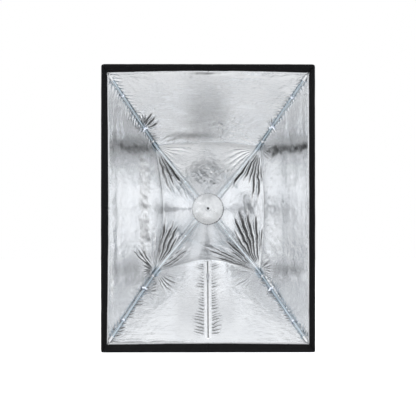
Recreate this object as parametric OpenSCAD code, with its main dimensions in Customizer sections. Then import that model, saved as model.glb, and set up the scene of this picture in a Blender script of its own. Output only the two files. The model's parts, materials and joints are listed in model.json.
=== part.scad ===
// Folding rectangular softbox on an umbrella shaft, open front towards -Y, +Z up.
// The origin lies on the shaft's axis, in the middle of the stretch that a lamp holder grips.
// Inside, the parts are drawn in a frame of their own: x across, y up, z (called depth)
// forward along the shaft from the hub's pins, and shaft_frame() turns that into place.

/* [Front opening] */
// Width of the open front
open_w = 600; // [540:1:640]
// Height of the open front
open_h = 810; // [720:1:860]
// Depth from the hub's pins to the front edge
open_depth = 330; // [312:1:350]
// Width of the hem band at the corners, along the corner
band_corner = 28; // [22:1:32]
// Width of the hem band at the middle of the top
band_top = 20; // [16:1:30]
// Width of the hem band at the middle of the right side
band_right = 22; // [16:1:30]
// Width of the hem band at the middle of the bottom
band_bottom = 27; // [16:1:30]
// Width of the hem band at the middle of the left side
band_left = 25; // [16:1:30]

/* [Back] */
// Half the distance between the fabric's knees, across
knee_x = 160; // [150:1:175]
// Half the distance between the fabric's knees, up
knee_y = 193; // [180:1:205]
// Depth of the fabric's knees in front of the hub's pins
knee_depth = 120; // [112:1:128]
// How far the knee seam bows out at the top
bow_top = 12; // [-10:1:20]
// How far the knee seam bows out at the right
bow_right = 12; // [-10:1:20]
// How far the knee seam bows out at the bottom, negative inwards
bow_bottom = -38; // [-44:1:0]
// How far the knee seam bows out at the left, negative inwards
bow_left = -25; // [-32:1:0]

/* [Fabric] */
// Thickness of the lined cloth
cloth_t = 1.5; // [1:0.1:1.8]
// Diameter of the patch where the shaft leaves the back
patch_d = 64; // [50:1:80]
// Diameter of the pinked rosette on the runner
rosette_d = 98; // [90:1:104]
// Height of the rosette's dome
rosette_rise = 8; // [5:0.5:9]
// Number of pinked teeth round the rosette
rosette_teeth = 42; // [30:1:54]

/* [Shaft] */
// Diameter of the shaft
shaft_d = 8; // [7.6:0.1:8.2]
// Wall of the shaft's tube
shaft_wall = 0.7; // [0.6:0.1:1.2]
// Depth of the shaft's front end
shaft_front = 296; // [285:1:310]
// Depth of the stop ring that ends the runner's travel
stop_depth = 231; // [231:1:234]

/* [Hub and runner] */
// Diameter of the hub and of the runner's crown
crown_d = 38; // [36:1:42]
// Radius at which the pins lie
pin_ring = 14; // [13.5:0.1:14.5]
// Diameter of the hinge pins
pin_d = 2; // [1.8:0.1:2.2]
// Depth of the runner's pins when the box is open
runner_depth = 110; // [108:1:110]
// Length of the runner's sleeve behind its pins
sleeve_len = 42; // [34:1:50]
// Diameter of the runner's sleeve
sleeve_d = 18; // [17:0.5:19]
// Diameter of the runner's push button
button_d = 6; // [5:0.1:7]
// How far the push button stands out of the sleeve
button_proud = 2.6; // [2.4:0.1:3.5]

/* [Ribs] */
// Diameter of the inner rib rods
inner_d = 4; // [3.6:0.1:4.2]
// Diameter of the outer rib rods
outer_d = 5.4; // [5:0.1:5.6]
// How far the ribs lie inside the fabric's corners, each way
rib_inset = 4; // [4:0.1:5]
// Diameter of the knee joints' sleeves
knee_d = 8; // [7.6:0.1:8.2]
// Distance from the hub's pin to the stretcher's rivet
rivet_at = 108; // [106:1:110]
// Diameter of the stretcher rods
stretcher_d = 4; // [3.4:0.1:4]
// Thickness of each prong of a stretcher's fork
prong_t = 1.6; // [1.2:0.1:2]
// Length of a stretcher's fork
fork_len = 26; // [22:1:32]
// Share of the outer rib's length at which its tie sits
tie_at = 0.24; // [0.15:0.01:0.4]
// Length of the pocket over each rib's end
pocket_len = 20; // [14:1:26]

/* [Stand zip] */
// Width of each zip tape
tape_w = 9; // [7:0.5:11]
// Width of the closed zip's teeth
teeth_w = 3.2; // [2.6:0.1:4]
// Share of the bottom wall's slope that the zip covers
zip_share = 0.86; // [0.6:0.01:0.88]
// Distance from the zip's inner end to the slider
slider_at = 62; // [30:1:120]
// Length of the zip's slider
slider_len = 13; // [10:0.5:16]
// Length of the zip's pull
pull_len = 24; // [18:1:32]

/* [Hidden] */
$fn = 48;
CORNERS = ["tl", "tr", "bl", "br"];
CORNER_SIGNS = [[-1, 1], [1, 1], [-1, -1], [1, -1]];
SIDES = ["top", "right", "bottom", "left"];
OUT = [[0, 1], [1, 0], [0, -1], [-1, 0]];
ALONG = [[1, 0], [0, -1], [-1, 0], [0, 1]];
HUB = 0;
KNEE = 1;
FRONT = 2;

// Clearances
seat_gap = 0.3;
running_gap = 0.05;
skin_gap = 0.02;
seam_gap = 0.3;
band_gap = 0.5;
seam_share = 0.0006;

// Hub and runner
shaft_r = shaft_d / 2;
shaft_bore_r = shaft_r + running_gap;
hub_front = 7;
boss_r = 11;
hub_boss = 13.1;
hub_clear = 1;
shaft_back = 22;
groove_deep = 0.3;
ring_w = 2;
ring_t = 1.6;
eye_r = 3;
eye_t = 3;
eye_bore_r = pin_d / 2 + running_gap;
slot_w = eye_t + 2 * seat_gap;
slot_bottom = pin_ring - eye_r - seat_gap;
pin_len = 12;
patch_t = 2;
patch_back = hub_boss + seat_gap + patch_t;
flange_t = 4;
crown_back = 6;
crown_front = 6;

// The fabric shell's half sizes and depths at the hub, the knees and the front edge
half_w = [12, knee_x, open_w / 2];
half_h = [14, knee_y, open_h / 2];
depths = [-12, knee_depth, open_depth];
bows = [bow_top, bow_right, bow_bottom, bow_left];
bands = [band_top, band_right, band_bottom, band_left];
// A step of one layer moves a point one unit out along each axis, and the sheet 1.4 units
layer_slope = 1.4;
cloth_layer = cloth_t / layer_slope;
band_layer = -band_gap / layer_slope;
bow_ease = 0.15;
bow_round = 1.5;
cloth_steps = 16;
// The steepest back panel, as depth for each step outwards, and the hub's edge that clears it
back_slope = max([for (side = [0 : 3])
    (depths[KNEE] - depths[HUB]) / (half_out(side, KNEE) + bows[side] - half_out(side, HUB))]);
hub_edge = depths[HUB] + (crown_d / 2 - half_w[HUB]) * back_slope + hub_clear;

// Rib points, for the corner at +x +y
knee_point = [knee_x - rib_inset, knee_y - rib_inset, knee_depth + rib_inset];
front_point = [open_w / 2 - rib_inset, open_h / 2 - rib_inset, open_depth + rib_inset];
corner_len = norm(front_point - knee_point);
tip_back = 5;
rib_share = 1 - (band_corner + tip_back) / corner_len;
tip_point = knee_point + (front_point - knee_point) * rib_share;
knee_out = norm([knee_point[0], knee_point[1]]) - pin_ring;
rib_angle = atan2(knee_out, knee_point[2]);
inner_len = norm([knee_out, knee_point[2]]);
lug_len = 11;
rod_overlap = 2;
knee_sleeve = 13;
knee_stop = 1;
knee_taper = 0.8;
rivet_r = 1.2;
rivet_boss_r = 3.4;
boss_t = inner_d;
sleeve_t = 1.3;

// Stretcher, in the plane of its rib: out from the shaft, and depth
rivet_out = pin_ring + rivet_at * sin(rib_angle);
rivet_depth = rivet_at * cos(rib_angle);
stretch_out = rivet_out - pin_ring;
stretch_back = runner_depth - rivet_depth;
stretch_len = norm([stretch_out, stretch_back]);
stretch_angle = atan2(stretch_out, stretch_back);
prong_off = boss_t / 2 + seat_gap;
prong_h = 5;
fork_web = 4;

// Rosette
dome_back = runner_depth + 9;
rosette_t = 1.2;
nose_depth = dome_back + rosette_rise * (1 - pow(sleeve_d / rosette_d, 2)) - rosette_t - seat_gap;
pink_deep = 2.2;

// Grip
grip_front = shaft_front;
grip_back = stop_depth + ring_w;
grip_depth = (grip_front + grip_back) / 2;
cap_head = 2;

// Zip, on the middle line of the bottom wall
seam_mid = [0, -(knee_y + bow_bottom), knee_depth];
edge_mid = [0, -open_h / 2, open_depth];
slope_len = norm(edge_mid - seam_mid);
zip_tilt = atan2(seam_mid[2] - edge_mid[2], seam_mid[1] - edge_mid[1]);
zip_len = slope_len * zip_share;
zip_end = 6;
tape_t = 1;
tape_back = -1.6;
tape_gap = 0.4;
teeth_t = 1.6;
teeth_back = tape_back + tape_t + 0.1;
teeth_front = teeth_back + teeth_t;
slider_w = 9;
lip_t = 1.2;
bridge_r = 0.8;
bridge_y = 2;
bridge_z = lip_t + bridge_r + 0.6;
bridge_len = 6.4;
post_w = 1.2;
pull_t = 1.4;
pull_w = 5;

module shaft_frame() {
    translate([0, grip_depth, 0]) rotate([90, 0, 0]) children();
}

module zip_frame() {
    shaft_frame()
        translate(seam_mid)
            rotate([zip_tilt, 0, 0])
                children();
}

// The plane of one rib: x out from the shaft, z forward
module rib_plane(signs) {
    shaft_frame()
        rotate([0, 0, atan2(signs[1] * knee_point[1], signs[0] * knee_point[0])])
            children();
}

module rod(from, to, r) {
    run = to - from;
    translate(from)
        rotate([0, acos(run[2] / norm(run)), atan2(run[1], run[0])])
            cylinder(r = r, h = norm(run));
}

// A pin square to the plane of a rib
module cross_pin(r, len) {
    rotate([90, 0, 0]) cylinder(r = r, h = len, center = true);
}

function signed(p, signs) = [p[0] * signs[0], p[1] * signs[1], p[2]];

function bow_shape(u) =
    let (t = 1 - pow(abs(2 * u - 1), bow_round))
    (1 + bow_ease) * t * t / (t + bow_ease);

function half_out(side, st) = side % 2 == 0 ? half_h[st] : half_w[st];
function half_along(side, st) = side % 2 == 0 ? half_w[st] : half_h[st];

// A point of one side of the shell at a station, u of the way along it
function station(side, st, u, layer) =
    let (
        out = half_out(side, st) + layer + (st == KNEE ? bows[side] * bow_shape(u) : 0),
        along = (2 * u - 1) * (half_along(side, st) + layer - seam_gap / 2),
        flat = OUT[side] * out + ALONG[side] * along
    )
    [flat[0], flat[1], depths[st] - layer];

function surface_point(side, st, u, v, layer) =
    station(side, st, u, layer) * (1 - v) + station(side, st + 1, u, layer) * v;

// Steps that lie closer together near the corners
function eased(i, n) = (1 - cos(180 * i / n)) / 2;

// A sheet between two rows of points, each row a list, on the inner and the outer layer
module sheet(inner_a, inner_b, outer_a, outer_b) {
    n = len(inner_a);
    rows = concat(inner_a, inner_b, outer_a, outer_b);
    sides = [for (i = [0 : n - 2]) each [
        [i, i + 1, n + i + 1],
        [i, n + i + 1, n + i],
        [2 * n + i, 3 * n + i + 1, 2 * n + i + 1],
        [2 * n + i, 3 * n + i, 3 * n + i + 1],
        [i, 2 * n + i + 1, i + 1],
        [i, 2 * n + i, 2 * n + i + 1],
        [n + i, n + i + 1, 3 * n + i + 1],
        [n + i, 3 * n + i + 1, 3 * n + i]
    ]];
    ends = [
        [0, n, 3 * n],
        [0, 3 * n, 2 * n],
        [n - 1, 4 * n - 1, 2 * n - 1],
        [n - 1, 3 * n - 1, 4 * n - 1]
    ];
    polyhedron(points = rows, faces = concat(sides, ends));
}

module shell_sheet(side, st, from, to, inner, outer) {
    us = [for (i = [0 : cloth_steps]) eased(i, cloth_steps)];
    shaft_frame()
        sheet(
            [for (u = us) surface_point(side, st, u, from[0] + from[1] * band_ease(u), inner)],
            [for (u = us) surface_point(side, st, u, to, inner)],
            [for (u = us) surface_point(side, st, u, from[0] + from[1] * band_ease(u), outer)],
            [for (u = us) surface_point(side, st, u, to, outer)]
        );
}

function band_ease(u) = 1 - pow(2 * u - 1, 2);
function slant(side) = norm([
    half_out(side, FRONT) - half_out(side, KNEE) - bows[side],
    depths[FRONT] - depths[KNEE]
]);

module back_panel(side) {
    color("lightgray")
        shell_sheet(side, HUB, [0, 0], 1 - seam_share, 0, cloth_layer);
}

module wall(side) {
    color("whitesmoke")
        difference() {
            shell_sheet(side, KNEE, [seam_share, 0], 1, 0, cloth_layer);
            if (side == 2) zip_slot();
        }
}

module zip_slot() {
    cut_w = 2 * tape_w + tape_gap + 2 * seat_gap;
    cut_len = zip_len - zip_end + 2 * seat_gap;
    cut_deep = 20;
    zip_frame()
        translate([-cut_w / 2, -zip_len - seat_gap, -cut_deep / 2])
            cube([cut_w, cut_len, cut_deep]);
}

module hem_band(side) {
    corner_share = band_corner / corner_len;
    middle_share = bands[side] / slant(side);
    color("black")
        shell_sheet(side, KNEE, [1 - corner_share, corner_share - middle_share], 1,
            band_layer - cloth_layer, band_layer);
}

module shaft() {
    color("silver") shaft_frame() difference() {
        translate([0, 0, -shaft_back]) cylinder(r = shaft_r, h = shaft_back + shaft_front);
        translate([0, 0, -shaft_back - 1])
            cylinder(r = shaft_r - shaft_wall, h = shaft_back + shaft_front + 2);
        translate([0, 0, stop_depth]) difference() {
            cylinder(r = shaft_r + 1, h = ring_w);
            translate([0, 0, -1]) cylinder(r = shaft_r - groove_deep, h = ring_w + 2);
        }
    }
}

module shaft_cap() {
    plug_len = 12;
    plug_r = shaft_r - shaft_wall - running_gap;
    color("dimgray") shaft_frame() {
        translate([0, 0, shaft_front - plug_len]) cylinder(r = plug_r, h = plug_len + 0.1);
        translate([0, 0, shaft_front]) cylinder(r1 = shaft_r - 0.1, r2 = shaft_r - 0.8, h = cap_head);
    }
}

module stop_ring() {
    color("gray") shaft_frame() translate([0, 0, stop_depth + 0.1]) difference() {
        cylinder(r = shaft_r + ring_t, h = ring_w - 0.2);
        translate([0, 0, -1]) cylinder(r = shaft_r - groove_deep + running_gap, h = ring_w + 2);
    }
}

// Slots and pin holes of a crown, opening towards one end
module crown_cuts(ahead) {
    for (signs = CORNER_SIGNS)
        rotate([0, 0, atan2(signs[1] * knee_point[1], signs[0] * knee_point[0])]) {
            translate([slot_bottom, -slot_w / 2, ahead ? -eye_r - seat_gap : -crown_d])
                cube([crown_d, slot_w, crown_d + eye_r + seat_gap]);
            translate([pin_ring, 0, 0]) cross_pin(pin_d / 2 + running_gap, pin_len + 2 * seat_gap);
        }
}

module pins() {
    for (signs = CORNER_SIGNS)
        rotate([0, 0, atan2(signs[1] * knee_point[1], signs[0] * knee_point[0])])
            translate([pin_ring, 0, 0]) cross_pin(pin_d / 2, pin_len);
}

module hub() {
    cone_h = (crown_d / 2 - boss_r) * back_slope;
    color("black") shaft_frame() difference() {
        union() {
            translate([0, 0, hub_edge]) cylinder(d = crown_d, h = hub_front - hub_edge);
            translate([0, 0, hub_edge - cone_h])
                cylinder(r1 = boss_r, r2 = crown_d / 2, h = cone_h);
            translate([0, 0, -hub_boss]) cylinder(r = boss_r, h = hub_boss);
        }
        translate([0, 0, -hub_boss - 1]) cylinder(r = shaft_bore_r, h = hub_boss + hub_front + 2);
        crown_cuts(true);
    }
}

module hub_pins() {
    color("silver") shaft_frame() pins();
}

module ferrule() {
    seat = patch_back + seat_gap;
    wall_back = 3;
    nut_r = 7;
    color("black") shaft_frame() difference() {
        union() {
            translate([0, 0, -seat - flange_t]) cylinder(r = 2 * nut_r, h = flange_t);
            translate([0, 0, -shaft_back - wall_back])
                cylinder(r = nut_r, h = shaft_back + wall_back - seat);
        }
        translate([0, 0, -shaft_back - seat_gap]) cylinder(r = shaft_bore_r, h = shaft_back);
    }
}

module back_patch() {
    color("black") shaft_frame() translate([0, 0, -patch_back]) difference() {
        cylinder(d = patch_d, h = patch_t);
        translate([0, 0, -1]) cylinder(r = shaft_r + seat_gap, h = patch_t + 2);
    }
}

module button_frame() {
    shaft_frame()
        translate([0, 0, runner_depth - sleeve_len * 0.62])
            rotate([0, 90, 0])
                children();
}

module runner() {
    color("black") difference() {
        shaft_frame() difference() {
            union() {
                translate([0, 0, runner_depth - sleeve_len])
                    cylinder(d = sleeve_d, h = nose_depth - runner_depth + sleeve_len);
                translate([0, 0, runner_depth - crown_back])
                    cylinder(d = crown_d, h = crown_back + crown_front);
            }
            translate([0, 0, runner_depth - sleeve_len - 1])
                cylinder(r = shaft_bore_r, h = sleeve_len + nose_depth);
            translate([0, 0, runner_depth]) crown_cuts(false);
        }
        button_frame() cylinder(d = button_d + 2 * running_gap, h = sleeve_d);
    }
}

module runner_pins() {
    color("silver") shaft_frame() translate([0, 0, runner_depth]) pins();
}

module runner_button() {
    travel_room = 2.4;
    tip = shaft_r + travel_room;
    color("dimgray") button_frame()
        translate([0, 0, tip]) cylinder(d = button_d, h = sleeve_d / 2 + button_proud - tip);
}

module rosette() {
    rosette_r = rosette_d / 2;
    steps = 8;
    hole_r = shaft_r + ring_t + seat_gap;
    past_edge = rosette_r + 1;
    rs = [for (i = [0 : steps]) hole_r + (past_edge - hole_r) * i / steps];
    top = [for (r = rs) [r, rosette_rise * (1 - pow(r / rosette_r, 2))]];
    under = [for (i = [steps : -1 : 0]) [rs[i], top[i][1] - rosette_t]];
    edge = [for (i = [0 : 2 * rosette_teeth - 1])
        (rosette_r - (i % 2) * pink_deep) * [cos(180 * i / rosette_teeth), sin(180 * i / rosette_teeth)]];
    color("white") shaft_frame() translate([0, 0, dome_back]) intersection() {
        rotate_extrude() polygon(concat(top, under));
        translate([0, 0, -5]) linear_extrude(height = rosette_rise + 10) polygon(edge);
    }
}

// A rod's flat end with its pin's hole, in the plane of a rib, its rod running to +x
module eye_end(rod_r, len) {
    difference() {
        union() {
            cross_pin(eye_r, eye_t);
            translate([0, -eye_t / 2, -rod_r * 0.9]) cube([lug_len, eye_t, rod_r * 1.8]);
            translate([lug_len - rod_overlap, 0, 0])
                rotate([0, 90, 0]) cylinder(r = rod_r, h = len - lug_len + rod_overlap);
        }
        cross_pin(eye_bore_r, eye_t + 2);
    }
}

module rib_inner(signs) {
    color("lightsteelblue") rib_plane(signs)
        translate([pin_ring, 0, 0]) rotate([0, rib_angle - 90, 0]) {
            eye_end(inner_d / 2, inner_len - knee_stop);
            translate([rivet_at, 0, 0]) cross_pin(rivet_boss_r, boss_t);
        }
}

module rib_outer(signs) {
    knee = signed(knee_point, signs);
    tip = signed(tip_point, signs);
    to_tip = (tip - knee) / norm(tip - knee);
    color("lightsteelblue") shaft_frame() rod(knee + to_tip * knee_stop, tip, outer_d / 2);
}

module rib_knee(signs) {
    knee = signed(knee_point, signs);
    tip = signed(tip_point, signs);
    hub_side = signed([knee_point[0] * pin_ring / (knee_out + pin_ring),
        knee_point[1] * pin_ring / (knee_out + pin_ring), 0], signs);
    to_hub = (hub_side - knee) / norm(hub_side - knee);
    to_tip = (tip - knee) / norm(tip - knee);
    bottom = knee_stop - running_gap;
    color("dimgray") shaft_frame() difference() {
        union() {
            translate(knee) sphere(d = knee_d);
            rod(knee, knee + to_hub * knee_sleeve, knee_d / 2 - knee_taper);
            rod(knee, knee + to_tip * knee_sleeve, knee_d / 2);
        }
        rod(knee + to_hub * bottom, knee + to_hub * (knee_sleeve + 1), inner_d / 2 + running_gap);
        rod(knee + to_tip * bottom, knee + to_tip * (knee_sleeve + 1), outer_d / 2 + running_gap);
    }
}

module rib_tie(signs) {
    wrap_w = 7;
    knot_r = 2.6;
    knot_off = 2.2;
    knot_fore = 1.6;
    knee = signed(knee_point, signs);
    tip = signed(tip_point, signs);
    run = tip - knee;
    at = knee + run * tie_at / rib_share;
    half = run / norm(run) * wrap_w / 2;
    color("aliceblue") shaft_frame() difference() {
        union() {
            rod(at - half, at + half, outer_d / 2 + sleeve_t);
            translate(at + signed([-knot_off, -knot_off, knot_fore], signs)) sphere(r = knot_r);
        }
        rod(at - 2 * half, at + 2 * half, outer_d / 2 + running_gap);
    }
}

module rib_pocket(signs) {
    pocket_end = 2.2;
    knee = signed(knee_point, signs);
    tip = signed(tip_point, signs);
    run = (tip - knee) / norm(tip - knee);
    color("gainsboro") shaft_frame() difference() {
        rod(tip - run * pocket_len, tip + run * pocket_end, outer_d / 2 + sleeve_t);
        rod(tip - run * (pocket_len + 1), tip + run * seat_gap, outer_d / 2 + running_gap);
    }
}

// Draws a stretcher's parts with x from the runner's pin towards the rivet
module stretcher_frame(signs) {
    rib_plane(signs)
        translate([pin_ring, 0, runner_depth])
            rotate([0, 90 - stretch_angle, 0])
                children();
}

module stretcher(signs) {
    web = 2 * (prong_off + prong_t);
    prong_eye_r = prong_h / 2 + 0.6;
    color("lightsteelblue") stretcher_frame(signs) {
        eye_end(stretcher_d / 2, stretch_len - fork_len + 1);
        translate([stretch_len - fork_len, -web / 2, -prong_h / 2]) cube([fork_web, web, prong_h]);
        for (side = [-1, 1])
            translate([0, side * (prong_off + prong_t / 2), 0]) {
                translate([stretch_len - fork_len, -prong_t / 2, -prong_h / 2])
                    cube([fork_len, prong_t, prong_h]);
                translate([stretch_len, 0, 0]) cross_pin(prong_eye_r, prong_t);
            }
    }
}

module stretcher_rivets(signs) {
    head_t = 0.9;
    head_r = rivet_r + 0.9;
    color("silver") stretcher_frame(signs)
        for (side = [-1, 1])
            translate([stretch_len, side * (prong_off + prong_t + skin_gap + head_t / 2), 0])
                cross_pin(head_r, head_t);
}

module zip_tape(side) {
    left = side < 0 ? -tape_w - tape_gap / 2 : tape_gap / 2;
    color("silver") zip_frame()
        translate([left, -zip_len, tape_back])
            cube([tape_w, zip_len - zip_end, tape_t]);
}

module zip_teeth() {
    end_room = 4;
    color("gray") zip_frame()
        translate([-teeth_w / 2, -zip_len + end_room, teeth_back + skin_gap])
            cube([teeth_w, zip_len - zip_end - 2 * end_room, teeth_t]);
}

module zip_stops() {
    stop_w = teeth_w + 2;
    stop_len = 2.4;
    color("silver") zip_frame()
        for (y = [-zip_len + 1, -zip_end - 1 - stop_len])
            translate([-stop_w / 2, y, teeth_back + skin_gap]) cube([stop_w, stop_len, teeth_t]);
}

module slider_frame() {
    zip_frame()
        translate([0, -zip_end - slider_at, teeth_front + seat_gap])
            children();
}

module zip_slider() {
    channel = teeth_w + 2 * seat_gap;
    skirt_w = (slider_w - channel) / 2;
    skirt = teeth_t - 0.1;
    sink = 0.2;
    post_len = 2 * post_w;
    post_h = 2 * bridge_r + post_w;
    post_x = (bridge_len + post_w) / 2 - sink;
    color("silver") slider_frame() {
        translate([-slider_w / 2, 0, 0]) cube([slider_w, slider_len, lip_t]);
        for (side = [-1, 1]) {
            translate([side * (channel + skirt_w) / 2 - skirt_w / 2, 0, -skirt])
                cube([skirt_w, slider_len, skirt + sink]);
            translate([side * post_x - post_w / 2, bridge_y - post_len / 2, lip_t - sink])
                cube([post_w, post_len, post_h + sink]);
        }
        translate([-bridge_len / 2, bridge_y, bridge_z])
            rotate([0, 90, 0]) cylinder(r = bridge_r, h = bridge_len);
    }
}

module zip_pull() {
    hole_w = 2.4;
    hole_len = 8;
    color("silver") slider_frame() translate([0, bridge_y, bridge_z]) difference() {
        union() {
            rotate([0, 90, 0]) cylinder(r = pull_t, h = pull_w, center = true);
            translate([-pull_w / 2, -pull_len, -pull_t / 2]) cube([pull_w, pull_len, pull_t]);
        }
        rotate([0, 90, 0]) cylinder(r = bridge_r + running_gap, h = pull_w + 2, center = true);
        translate([-hole_w / 2, -pull_len + hole_w, -pull_t]) cube([hole_w, hole_len, 2 * pull_t]);
    }
}

shaft();
shaft_cap();
stop_ring();
hub();
hub_pins();
ferrule();
back_patch();
for (i = [0 : 3]) {
    back_panel(i);
    wall(i);
    hem_band(i);
}
zip_tape(-1);  // zip_tape_left
zip_tape(1);  // zip_tape_right
zip_teeth();
zip_stops();
runner();
runner_pins();
rosette();
runner_button();
for (i = [0 : 3]) {
    rib_inner(CORNER_SIGNS[i]);
    rib_knee(CORNER_SIGNS[i]);
    rib_outer(CORNER_SIGNS[i]);
    rib_tie(CORNER_SIGNS[i]);
    rib_pocket(CORNER_SIGNS[i]);
    stretcher(CORNER_SIGNS[i]);
    stretcher_rivets(CORNER_SIGNS[i]);
}
zip_slider();
zip_pull();
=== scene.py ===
# %% [markdown]
# # A folding softbox, seen straight into its open front
# The box is a shell of silver-lined black cloth, held open by four ribs that fold like an umbrella's. The rods,
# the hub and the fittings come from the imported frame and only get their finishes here. The cloth, the hem, the
# ties, the rosette and the zip are made here, because their looks are in their folds, seams and stitches.

# %% Load the frame
import json
import math

import bmesh
import bpy
import numpy as np
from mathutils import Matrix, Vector
from mathutils.bvhtree import BVHTree

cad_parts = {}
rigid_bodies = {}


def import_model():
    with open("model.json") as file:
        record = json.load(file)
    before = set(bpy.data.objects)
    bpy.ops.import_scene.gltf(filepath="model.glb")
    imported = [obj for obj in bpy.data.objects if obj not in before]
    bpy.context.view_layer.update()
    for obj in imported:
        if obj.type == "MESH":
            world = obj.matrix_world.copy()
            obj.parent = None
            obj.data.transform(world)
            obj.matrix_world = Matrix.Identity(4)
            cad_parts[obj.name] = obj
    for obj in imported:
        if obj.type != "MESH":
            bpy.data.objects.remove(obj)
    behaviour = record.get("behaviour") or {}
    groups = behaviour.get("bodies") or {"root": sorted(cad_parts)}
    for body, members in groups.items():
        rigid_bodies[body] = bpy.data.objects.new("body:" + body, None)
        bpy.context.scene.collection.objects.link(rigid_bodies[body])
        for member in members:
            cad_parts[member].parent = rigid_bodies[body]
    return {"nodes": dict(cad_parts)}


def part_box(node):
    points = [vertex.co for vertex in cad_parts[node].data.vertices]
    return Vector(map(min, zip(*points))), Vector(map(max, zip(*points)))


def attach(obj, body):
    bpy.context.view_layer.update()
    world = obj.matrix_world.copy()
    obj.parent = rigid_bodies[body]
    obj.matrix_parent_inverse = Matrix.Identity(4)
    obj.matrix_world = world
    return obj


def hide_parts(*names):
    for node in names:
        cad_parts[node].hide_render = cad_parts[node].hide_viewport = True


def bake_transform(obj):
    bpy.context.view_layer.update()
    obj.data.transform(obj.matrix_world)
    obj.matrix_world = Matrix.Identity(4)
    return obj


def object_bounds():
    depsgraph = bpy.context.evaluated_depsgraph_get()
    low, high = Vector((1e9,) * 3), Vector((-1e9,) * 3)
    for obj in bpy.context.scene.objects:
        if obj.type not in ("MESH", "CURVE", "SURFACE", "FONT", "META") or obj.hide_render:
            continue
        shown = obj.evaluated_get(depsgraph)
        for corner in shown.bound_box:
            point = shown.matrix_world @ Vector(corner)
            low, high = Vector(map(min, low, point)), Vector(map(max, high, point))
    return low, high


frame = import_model()
cad_box = [list(corner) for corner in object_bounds()]

# %% [markdown]
# ## Where things are in the photograph
# A few points of the picture settle the camera and place what is sewn or tied on. They are in the picture's own
# frame of 416 by 416, with y running down.

# %% Image points
PICTURE = 416
POINTS = {
    "left_edge": (102.0, 208.0),
    "right_edge": (314.4, 208.0),
    "top_edge": (208.0, 65.0),
    "bottom_edge": (208.0, 351.6),
    "shaft_end": (209.1, 207.5),
    "knee_tl": (157.5, 144.9),
    "knee_tr": (260.3, 142.7),
    "knee_bl": (157.3, 270.2),
    "knee_br": (259.5, 271.1),
    "tie_tl": (146.5, 127.3),
    "tie_tr": (271.8, 126.5),
    "tie_bl": (144.3, 287.7),
    "tie_br": (270.9, 288.2),
    "loop_tl": (124.3, 95.0),
    "loop_tr": (293.7, 98.5),
    "loop_bl": (122.6, 319.6),
    "loop_br": (293.7, 320.3),
    "lining_corner_tl": (108.6, 71.9),
    "lining_corner_br": (308.3, 344.9),
    "zip_outer_end": (208.5, 336.5),
}
CORNERS = {"tl": (-1, 1), "tr": (1, 1), "bl": (-1, -1), "br": (1, -1)}
print("image points:", len(POINTS))

# %% [markdown]
# ## The shell's own sizes
# The cloth's seams run from the hub's corners to the knees and on to the corners of the front edge. All of these
# can be read from the boxes of the CAD's plain cloth solids, so nothing is measured twice. A layer is a step out
# from the lining's face, and it moves a point by the same amount along each axis.

# %% Stations of the shell
TOP, RIGHT, BOTTOM, LEFT = range(4)
SIDE_NAMES = ["top", "right", "bottom", "left"]
OUT = np.array([[0, 1], [1, 0], [0, -1], [-1, 0]], float)
ALONG = np.array([[1, 0], [0, -1], [-1, 0], [0, 1]], float)
HUB, KNEE, FRONT = range(3)
LAYER = 0.0015 / 1.4
SEAM_GAP = 0.00015

low = {n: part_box(n)[0] for n in frame["nodes"]}
high = {n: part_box(n)[1] for n in frame["nodes"]}
knee_x = high["back_panel_top"].x - LAYER + SEAM_GAP
knee_z = high["back_panel_right"].z - LAYER + SEAM_GAP
half_w = [low["back_panel_right"].x, knee_x, high["wall_right"].x - LAYER]
half_h = [low["back_panel_top"].z, knee_z, high["wall_top"].z - LAYER]
shell_y = [high["back_panel_top"].y - LAYER, low["back_panel_top"].y, low["wall_top"].y]
bows = [
    high["back_panel_top"].z - LAYER - knee_z,
    high["back_panel_right"].x - LAYER - knee_x,
    -high["wall_bottom"].z - knee_z,
    -high["wall_left"].x - knee_x,
]
print("front half sizes:", half_w[FRONT], half_h[FRONT], "bows:", [round(b, 4) for b in bows])


def bow_shape(u):
    """How far a knee seam bows, 0 at the knees and 1 at its middle."""
    m = ((2 * u - 1) ** 2 + 0.02) ** 0.75
    t = 1 - (m - 0.02 ** 0.75) / (1.02 ** 0.75 - 0.02 ** 0.75)
    return 1.15 * t * t / (t + 0.15)


def station(side, st, u, layer=0.0):
    """Points along one side of the shell at the hub, the knees or the front edge."""
    upright = side in (TOP, BOTTOM)
    out = (half_h if upright else half_w)[st] + layer + (bows[side] * bow_shape(u) if st == KNEE else 0)
    along = (2 * u - 1) * ((half_w if upright else half_h)[st] + layer)
    flat = OUT[side] * np.broadcast_to(out, u.shape)[..., None] + ALONG[side] * along[..., None]
    return np.stack([flat[..., 0], np.full(u.shape, shell_y[st]) + layer, flat[..., 1]], -1)


def shell(side, st, u, v, layer=0.0):
    """Points of the shell between a station and the next, v of the way."""
    return station(side, st, u, layer) * (1 - v[..., None]) + station(side, st + 1, u, layer) * v[..., None]


def shell_point(side, st, u, v, layer=0.0):
    return Vector(shell(side, st, np.array([float(u)]), np.array([float(v)]), layer)[0])


# %% [markdown]
# ## The camera
# The photograph looks straight into the box. The front edge's width in metres and its width in the picture give
# the lens for a chosen distance, and the middle of the edges gives the aim. The distance shows in how far the
# knees stand inside the front edge.

# %% Camera
CAMERA_DISTANCE = 2.5
CAMERA_ASIDE = -0.02
CAMERA_RAISE = -0.018
front_width = 2 * half_w[FRONT]
edge_span = POINTS["right_edge"][0] - POINTS["left_edge"][0]
middle_x = (POINTS["right_edge"][0] + POINTS["left_edge"][0]) / 2
middle_y = (POINTS["top_edge"][1] + POINTS["bottom_edge"][1]) / 2

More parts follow.
